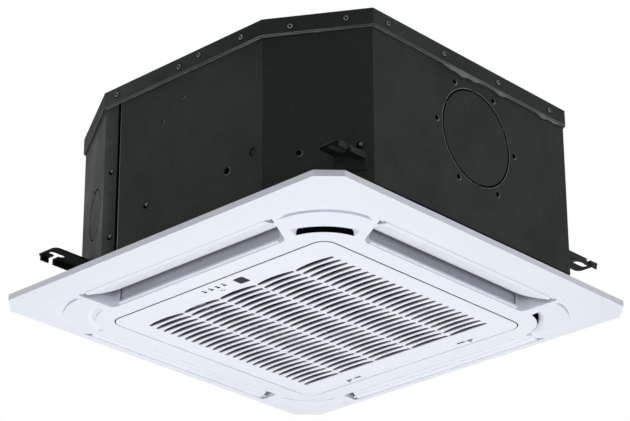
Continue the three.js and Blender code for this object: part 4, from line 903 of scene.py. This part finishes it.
def make_panel_frame():
    """The panel's skin with its openings, and the collar, pads, ribs and bosses behind it."""
    above = over_surface(ATTACH, ATTACH, BACK_Z)
    skin = carved(over_surface(0.0, 0.0, 0.0),
                  ("DIFFERENCE", over_surface(SKIN_DEPTH, SKIN_WALL, BACK_Z)))
    collar = carved(slab(rounded_square(*COLLAR_OUT), FACE_Z, COLLAR_TOP),
                    ("DIFFERENCE", cutter(rounded_square(FRAME_OPENING + 0.15, FRAME_CORNER))),
                    ("INTERSECT", above))
    pad = carved(slab(cover_loop(PAD_MARGIN), FACE_Z, PAD_TOP), ("INTERSECT", above))
    ribs = joined([carved(block_mesh((x - 1, PANEL_RIB_OUT, FACE_Z),
                                     (x + 1, PANEL_RIB_IN, PANEL_RIB_TOP)),
                          ("INTERSECT", above)) for x in PANEL_RIBS])
    recesses = four_sides(carved(cutter(cover_loop(0.12), 20),
                                 ("DIFFERENCE", over_surface(SEAT_DEPTH, 0.0, BACK_Z))))
    slots = four_sides(cutter(slot_ring(SLOT_IN, SLOT_OUT, SLOT_FROM, 90 - SLOT_FROM)))
    pockets = four_sides(carved(cover_screw_hole(1.2, 2.3),
                                ("DIFFERENCE", over_surface(POCKET_DEPTH, 0.0, BACK_Z))))
    cuts = [cutter(rounded_square(FRAME_OPENING, FRAME_CORNER)),
            *four_sides(cutter(outlet_loop(0.0))), *slots, *recesses, *pockets]
    skin = carved(skin, *[("DIFFERENCE", cut) for cut in cuts])
    pads = [carved(part, ("DIFFERENCE", slot), ("DIFFERENCE", recess))
            for part, slot, recess in zip(four_sides(pad), slots, recesses)]
    bosses = [rod_mesh((side * BOSS_FROM, HINGE_Y, HINGE_Z), (side * BOSS_TO, HINGE_Y, HINGE_Z),
                       BOSS_RADIUS, 24) for side in (-1, 1)]
    parts = [skin, collar, *pads, *bosses]
    for piece in (slot_scoop(), ribs, *end_ramps()):
        parts += four_sides(piece)
    whole = joined(parts)
    dip_around_covers(whole)
    done = finished_mesh(smooth_over(whole, 30.0), rounded_edges(0.6, 3))
    add_piece("panel_frame_finished", done, PANEL, "cassette", "panel_white", "panel_frame")


def make_outlet_ducts():
    """The four ducts, each with a flange at its top and a ledge along its inner side."""
    gap = block_mesh(*LINER_GAP, 0.01)
    tube = carved(slab(outlet_loop(DUCT_WALL), FACE_Z, DUCT_TOP),
                  ("DIFFERENCE", cutter(outlet_loop(DUCT_CLEAR))),
                  ("INTERSECT", over_surface(ATTACH, ATTACH, BACK_Z)), ("DIFFERENCE", gap))
    x0, y0, x1, y1 = THROAT_BOX
    flange = carved(slab(outlet_loop(DUCT_FLANGE_MARGIN), DUCT_FLANGE_LOW, DUCT_TOP),
                    ("DIFFERENCE", cutter([(x0, y0), (x1, y0), (x1, y1), (x0, y1)])))
    ledge = grid_mesh([[(x, y, z) for y, z in LEDGE] for x in (-LEDGE_HALF, LEDGE_HALF)])
    place_all("outlet_ducts", four_sides(joined([tube, flange, ledge])), DUCT, "panel_white")


def make_corner_covers():
    plate = carved(cutter(cover_loop(0.08), 20), ("INTERSECT", over_surface(0.0, 0.0, BACK_Z)),
                   ("DIFFERENCE", over_surface(COVER_DEPTH, 0.0, BACK_Z)))
    plate = carved(plate, ("DIFFERENCE", cover_screw_hole(0.8, 2.4)))
    edge = swept_corner(COVER_CENTRE, [(83.0, 0.5), (85.2, 0.03), (85.9, 0.35), (85.9, 4.6),
                                       (83.0, 4.6)], 1.5, 88.5)
    covers = four_sides(smooth_over(joined([plate, edge]), 30.0))
    for number, mesh in enumerate(covers, 1):
        add_piece(f"corner_cover_{number}_finished", mesh, PANEL, "cassette", "panel_white",
                  f"corner_cover_{number}")


def make_panel():
    """The frame, covers and ducts, the slots' linings of painted shade, the liners and a strip of
    painted shade in the gap round the grille.
    """
    make_panel_frame()
    make_corner_covers()
    make_outlet_ducts()
    # each slot's lining is a near-black sheet on its inner side: painted shade
    lining = slot_ring(LINING_IN, LINING_OUT, SLOT_FROM + 1, 89 - SLOT_FROM)
    linings = four_sides(slab(lining, LINING_LOW, SLOT_TOP))
    # the lining of the corner at -X -Y starts above its blank
    below = block_mesh((-300, -300, -40), (0, 0, LINING_OVER_BLANK), 0.01)
    linings[2] = carved(linings[2], ("DIFFERENCE", below))
    # each black foam guide joins its lining and is made darker than the foam: painted shade
    for number, lining in enumerate(linings, 1):
        guide = joined([frame["nodes"][f"corner_guide_{number}"].data, lining])
        add_piece(f"corner_guide_{number}_finished", guide, SHADE_AND_JOINT_BLACK, "cassette", "foam_black",
                  f"corner_guide_{number}")
        softened(f"duct_liner_{number}", LINER, "liner_grey", 0.8)
    place_all("corner_slot_blank", [slot_blank()], PANEL, "panel_white")
    # a near-black strip in the gap round the grille: painted shade
    seal = lifted([rounded_square(*GAP_SHADE_OUT), rounded_square(*GAP_SHADE_IN)],
                  *GAP_SHADE_SPAN, 0.05)
    add_piece("grille_gap_painted_shade", seal, SHADE_AND_JOINT_BLACK, "grille", "foam_black")


# ---------------------------------------------------------------- casing
# the sheets' outer faces, and how far the lid's flange stands out from them
FRONT_Y, LEFT_X, RIGHT_X, BACK_Y, FLANGE_OUT = -280.3, -280.3, 292.3, 292.3, 3.2
FRONT, RIGHT, BACK, LEFT = (0, -1, 0), (1, 0, 0), (0, 1, 0), (-1, 0, 0)
FRONT_CHAMFER = Vector((0.5145, -0.8575, 0.0))
# the left chamfer's reach along the front and along the left side
CHAMFER_X, CHAMFER_Y = 130.0, 78.0
KNOCKOUT_Y, KNOCKOUT_Z, KNOCKOUT_RADIUS, PIERCED_RADIUS = 11.7, 167.2, 71.2, 83.8
SIDE_KNOCKOUT_ALONG, SIDE_KNOCKOUT_Z, SIDE_KNOCKOUT_RADIUS = 93.0, 118.7, 39.4
PIERCED_AT = (121.2, 61.0, 179.2, 1.0, 241.0, 301.0)
SIDE_SCREW_Z = 272.0
WASHER = [(3.9, -0.1), (3.9, 0.6), (3.3, 1.3), (2.4, 1.6), (0.0, 1.6)]
PAN_HEAD = [(4.4, -0.2), (4.4, 0.5), (3.2, 0.6), (3.1, 1.2), (2.4, 1.9), (1.1, 2.2), (0.0, 2.25)]
SEAM_LOW, SEAM_HIGH = 26.0, 257.0
# the lid flange's lower edge, and the foam pressed out below it
FLANGE_Z, SEAL_Z = 260.0, 258.6


def make_sheet_work():
    """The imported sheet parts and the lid's seal with their edges rounded."""
    softened("casing_shell", CASING, "casing_black", 0.7)
    softened("lid", CASING, "casing_black", 0.6)
    softened("lid_seal_strip", SEAL, "seal_grey", 0.3)
    for number in range(1, 5):
        softened(f"hanger_bracket_{number}", BRACKET, "bracket_black", 0.45)


def screw_mesh(place, normal, size):
    """A pan head with a washer face and a cross recess."""
    head = turned_mesh([(radius * size, height) for radius, height in PAN_HEAD], place, normal)
    normal = Vector(normal).normalized()
    cross = []
    for turn in (20, 110):
        side = Matrix.Rotation(math.radians(turn), 3, normal) @ normal.orthogonal().normalized()
        start, end = (Vector(place) + normal * 2.6 + side * (k * 1.7 * size) for k in (-1, 1))
        cross.append(rod_mesh(start, end, 0.75 * size, 8, 0.2))
    return carved(head, *[("DIFFERENCE", bar) for bar in cross])


def disc_mesh(place, normal, radius, height, thick=0.3):
    return turned_mesh([(radius, height - thick), (radius, height), (0.0, height)], place, normal)


def flange_screws():
    """The places of the screws through the lid's flange, each with the way that it faces."""
    front = [((x, FRONT_Y - FLANGE_OUT, z), FRONT)
             for x, z in ((-125.0, 273.0), (2.3, 271.0), (41.9, 275.5), (124.0, 272.0))]
    chamfer = [(tuple(Vector(place) + FRONT_CHAMFER * FLANGE_OUT), FRONT_CHAMFER)
               for place in ((195.6, -260.3, 269.7), (262.0, -220.5, 272.7))]
    right = [((RIGHT_X + FLANGE_OUT, y, SIDE_SCREW_Z), RIGHT) for y in (-174.0, -56.8, 61.4, 178.2)]
    back = [((x, BACK_Y + FLANGE_OUT, SIDE_SCREW_Z), BACK) for x in (-160.0, -40.0, 80.0)]
    left = [((LEFT_X - FLANGE_OUT, y, SIDE_SCREW_Z), LEFT) for y in (-150.0, -30.0, 90.0, 200.0)]
    return front + chamfer + right + back + left


def make_fasteners():
    """Screws and pressed holes, each in its own dimple painted as a near-black disc of shade."""
    dark, bright = [], []
    # each flange screw's washer stands on a disc of painted shade, with more painted shade in its
    # recess
    for place, normal in flange_screws():
        dark += [disc_mesh(place, normal, 5.0, 0.15), disc_mesh(place, normal, 1.7, 1.75, 0.5)]
        bright.append(turned_mesh(WASHER, place, normal))
    # sunk screws: the head sits low in a dimple of painted shade and catches the light on one side
    sunk = [((-133.7, FRONT_Y - 0.9, 154.3), FRONT), ((-61.1, FRONT_Y, 79.5), FRONT),
            ((-133.2, FRONT_Y - 0.9, 53.3), FRONT), ((276.0, -212.1, 81.5), FRONT_CHAMFER)]
    for (x, y, z), normal in sunk:
        dark.append(disc_mesh((x, y, z), normal, 5.2, 0.15))
        bright.append(screw_mesh((x + 1.6, y, z + 0.6), normal, 0.62))
    # plain holes, among them those around the fresh-air knockout
    holes = [((96.9, FRONT_Y, 79.1), FRONT, 5.2), ((-31.0, FRONT_Y, 197.7), FRONT, 1.7),
             ((8.3, FRONT_Y, 222.9), FRONT, 1.7), ((205.4, -254.4, 78.5), FRONT_CHAMFER, 4.0)]
    holes += [((RIGHT_X, KNOCKOUT_Y + PIERCED_RADIUS * math.cos(math.radians(a)),
                KNOCKOUT_Z + PIERCED_RADIUS * math.sin(math.radians(a))), RIGHT, 3.6)
              for a in PIERCED_AT]
    # each hole is a disc of painted shade over a larger bright disc set off to one side: a painted
    # highlight on its rim
    for place, normal, radius in holes:
        across = Vector(normal).cross(Vector((0, 0, 1))).normalized()
        rim = Vector(place) - across * 0.9 - Vector((0, 0, 0.5))
        bright.append(disc_mesh(rim, normal, radius + 0.6, 0.12))
        dark.append(disc_mesh(place, normal, radius, 0.3))
    place_all("casing_screws_and_hole_highlights", bright, SCREW, "casing_black")
    place_all("casing_dimple_painted_shade", dark, SHADE_AND_JOINT_BLACK, "foam_black")


def plate_arc(middle, along, radius, width, start, end):
    """A flat arc on an upright sheet, a little proud; along is the sheet's level direction."""
    middle, along = Vector(middle), Vector(along).normalized()
    out = along.cross(Vector((0, 0, 1)))
    steps = 30
    section = ((-0.3, radius - width), (0.15, radius - width), (0.15, radius), (-0.3, radius))
    rings = []
    for k in range(steps + 1):
        a = math.radians(start + (end - start) * k / steps)
        ray = along * math.cos(a) + Vector((0, 0, math.sin(a)))
        rings.append([middle + out * lift + ray * r for lift, r in section])
    return grid_mesh(rings)


def make_knockouts():
    """The punched rings of the fresh-air knockout on the right and of the smaller one on the left
    chamfer: dark cuts between bridges, each with a burr painted as a bright highlight."""
    t = SIDE_KNOCKOUT_ALONG / math.hypot(CHAMFER_X, CHAMFER_Y)
    side_middle = (LEFT_X + CHAMFER_X * t, FRONT_Y + CHAMFER_Y * (1 - t), SIDE_KNOCKOUT_Z)
    # middle, level direction, (radius, width) of cut and of burr, the burr's shorter ends, arcs
    rings = [((RIGHT_X, KNOCKOUT_Y, KNOCKOUT_Z), (0, 1, 0),
              (KNOCKOUT_RADIUS + 1.3, 2.7), (KNOCKOUT_RADIUS + 2.3, 1.0), 1,
              ((33.0, 90.0), (94.0, 150.0), (154.5, 268.0), (272.0, 388.5))),
             (side_middle, (-CHAMFER_X, CHAMFER_Y, 0),
              (SIDE_KNOCKOUT_RADIUS, 2.8), (SIDE_KNOCKOUT_RADIUS + 1.2, 1.2), 4,
              ((10.0, 60.0), (75.0, 110.0), (125.0, 170.0), (185.0, 215.0), (235.0, 280.0),
               (295.0, 350.0)))]
    cuts, burrs = [], []
    for middle, along, cut, burr, short, arcs in rings:
        for start, end in arcs:
            cuts.append(plate_arc(middle, along, *cut, start, end))
            burrs.append(plate_arc(middle, along, *burr, start + short, end - short))
    place_all("knockout_cuts", cuts, SHADE_AND_JOINT_BLACK, "foam_black")
    # the burrs are light strips: painted highlights
    place_all("knockout_burr_highlights", burrs, EDGE_HIGHLIGHT, "casing_black")


def seam_strip(x0, x1, proud=0.3, sunk=0.3, edge=0.1):
    """An upright strip of the front sheet's lapped joint."""
    return block_mesh((x0, FRONT_Y - proud, SEAM_LOW), (x1, FRONT_Y + sunk, SEAM_HIGH), edge)


def make_seam():
    """The end sheet lapped over the front one, the joint's dark line and painted edge highlights.
    """
    end_sheet, joint = seam_strip(-149.6, -123.0, 0.9, 0.4, 0.3), seam_strip(-122.6, -118.2)
    place_all("casing_end_sheet", [end_sheet], CASING_WORN, "casing_black")
    place_all("casing_joint_shadow", [joint], SHADE_AND_JOINT_BLACK, "foam_black")
    # the lid flange's folded lower edge, on the front, the front chamfer and the right
    out = FLANGE_OUT + 0.1
    front, right = FRONT_Y - out, RIGHT_X + out
    runs = [((-150.6, front), (163.0, front)), ((163.0, front), (right, -203.5)),
            ((right, -203.5), (right, 214.0)), ((-151.5, front), (LEFT_X - out, -203.0))]
    edges = [rod_mesh((*a, FLANGE_Z), (*b, FLANGE_Z), 0.75, 10, 0.2) for a, b in runs]
    # the strip beside the joint and the rods along the flange's edge carry a painted highlight
    place_all("casing_edge_highlights", [seam_strip(-118.0, -116.9), *edges], EDGE_HIGHLIGHT, "casing_black")


def wavy_strip(start, end, bulges):
    """Sealing foam pressed out under the flange; bulges are (place from 0 to 1, width, height)."""
    a, b = Vector((*start, SEAL_Z)), Vector((*end, SEAL_Z))
    out = Vector(((b - a).y, -(b - a).x, 0.0)).normalized()
    steps, sides, radius = 90, 8, 0.9
    rings = []
    for k in range(steps + 1):
        t = k / steps
        swell = sum(height * math.exp(-((t - at) / width) ** 2) for at, width, height in bulges)
        swell += 0.25 * math.sin(47.0 * t) * math.sin(19.0 * t + 1.0)
        middle = a.lerp(b, t)
        ring = []
        for j in range(sides):
            angle = 2 * math.pi * j / sides
            rise = (radius + swell) * math.sin(angle) - swell * 0.7
            ring.append(middle + out * ((radius + swell * 0.55) * math.cos(angle))
                        + Vector((0, 0, rise)))
        rings.append(ring)
    return grid_mesh(rings)


def make_pressed_seal():
    """The foam below the lid's flange on the right, the front and the front chamfer."""
    strips = [wavy_strip((RIGHT_X + 1.6, -200.0), (RIGHT_X + 1.6, 205.0),
                         [(0.39, 0.03, 2.4), (0.455, 0.03, 3.6), (0.52, 0.025, 2.2),
                          (0.66, 0.025, 2.6), (0.90, 0.025, 2.4), (0.96, 0.02, 1.4)]),
              wavy_strip((-148.0, FRONT_Y - 1.6), (160.0, FRONT_Y - 1.6), [(0.3, 0.04, 0.3)]),
              wavy_strip((163.0, FRONT_Y - 1.5), (RIGHT_X + 1.2, -203.0), [(0.5, 0.05, 0.4)])]
    # the pressed-out foam takes the seal foam's lighter copy: painted light
    place_all("pressed_seal", strips, SEAL_PAINTED_LIGHT, "seal_grey")


# ---------------------------------------------------------------- stage, in metres
CAMERA_PLACE, CAMERA_ANGLES = (2.20842, -2.37624, -1.36042), (42.94, -24.91, -0.22)
CAMERA_LENS, CAMERA_SENSOR = 140.53, 36.0
FLOOR_HALF, FLOOR_Z, FLOOR_SHARE = 14.0, -3.6, 0.5
# name, place, aim, width and watts
LAMPS = (("soft_from_below", (0.1, -0.2, -2.0), (0.1, -0.2, 0.0), 2.4, 39.0),
         ("low_front_right", (2.6, -1.6, -1.2), (0.0, 0.0, 0.1), 1.6, 2.5),
         ("soft_from_above", (0.0, 0.0, 2.6), (0.0, 0.0, 0.0), 2.0, 24.0),
         ("left_wash", (-2.9, -2.2, 0.55), (-0.1, 0.0, 0.15), 1.4, 22.0),
         ("right_wash", (3.2, 1.8, 0.6), (0.3, 0.1, 0.15), 1.6, 26.0))


def make_camera():
    """The photograph's view: azimuth from -Y towards +X, elevation and roll."""
    azimuth, elevation, roll = (math.radians(angle) for angle in CAMERA_ANGLES)
    back = Vector((math.sin(azimuth) * math.cos(elevation),
                   -math.cos(azimuth) * math.cos(elevation), math.sin(elevation)))
    right = (-back).cross(Vector((0, 0, 1))).normalized()
    up = right.cross(-back)
    turn = Matrix((right * math.cos(roll) + up * math.sin(roll),
                   up * math.cos(roll) - right * math.sin(roll), back)).transposed()
    camera = bpy.data.objects.new("photo_camera", bpy.data.cameras.new("photo_camera"))
    camera.data.sensor_width = CAMERA_SENSOR
    camera.data.lens = CAMERA_LENS
    camera.data.clip_end = 50.0
    camera.matrix_world = Matrix.Translation(CAMERA_PLACE) @ turn.to_4x4()
    bpy.context.scene.collection.objects.link(camera)
    bpy.context.scene.camera = camera


def area_lamp(name, place, aim, size, power):
    lamp = bpy.data.lights.new(name, "AREA")
    lamp.shape = "DISK"
    lamp.size = size
    lamp.energy = power
    holder = bpy.data.objects.new(name, lamp)
    holder.location = place
    holder.rotation_euler = (Vector(aim) - Vector(place)).to_track_quat("-Z", "Y").to_euler()
    bpy.context.scene.collection.objects.link(holder)


def pale_background(tree, kind, base_output, target, share=1.0):
    """Shows white, or a share of it, to the camera, in reflections and through glass, and
    base_output to all other light."""
    path = tree.nodes.new("ShaderNodeLightPath")
    seen = path.outputs["Is Camera Ray"]
    for ray in ("Is Glossy Ray", "Is Transmission Ray"):
        seen = combined(tree, "MAXIMUM", seen, path.outputs[ray])
    white = tree.nodes.new(kind)
    white.inputs["Color"].default_value = (1.0, 1.0, 1.0, 1.0)
    white.inputs["Strength"].default_value = 1.0
    mix = tree.nodes.new("ShaderNodeMixShader")
    for index, output in enumerate((combined(tree, "MULTIPLY", seen, share), base_output,
                                    white.outputs[0])):
        tree.links.new(output, mix.inputs[index])
    tree.links.new(mix.outputs[0], target)


def make_stage():
    world = bpy.data.worlds.new("studio")
    bpy.context.scene.world = world
    world.use_nodes = True
    tree = world.node_tree
    ambient = tree.nodes["Background"]
    ambient.inputs["Color"].default_value = (0.93, 0.96, 1.0, 1.0)
    ambient.inputs["Strength"].default_value = 0.33
    pale_background(tree, "ShaderNodeBackground", ambient.outputs[0],
                    tree.nodes["World Output"].inputs["Surface"])

    mesh = bpy.data.meshes.new("studio_floor")
    corners = [(-1, -1), (1, -1), (1, 1), (-1, 1)]
    mesh.from_pydata([(x * FLOOR_HALF, y * FLOOR_HALF, FLOOR_Z) for x, y in corners], [],
                     [(0, 1, 2, 3)])
    floor = bpy.data.objects.new("studio_floor", mesh)
    bpy.context.scene.collection.objects.link(floor)
    paint = surface("floor_paint", (0.80, 0.80, 0.80), (0.78, 0.78, 0.78), 0.0,
                    0.7, 0.8, 60.0, 0.2, specular=0.2)
    tree = paint.node_tree
    pale_background(tree, "ShaderNodeEmission", tree.nodes["Principled BSDF"].outputs[0],
                    tree.nodes["Material Output"].inputs["Surface"], FLOOR_SHARE)
    floor.data.materials.append(paint)
    for lamp in LAMPS:
        area_lamp(*lamp)
    bpy.context.scene.view_settings.view_transform = "Standard"


make_camera()
make_stage()
dress_cad_nodes()
make_sheet_work()
make_panel()
make_grille()
make_display()
make_latch(1, -1, "latch_left", 3.0)
make_latch(2, 1, "latch_right", 0.0)
make_fasteners()
make_knockouts()
make_seam()
make_pressed_seal()
for side in range(4):
    make_vane(side)
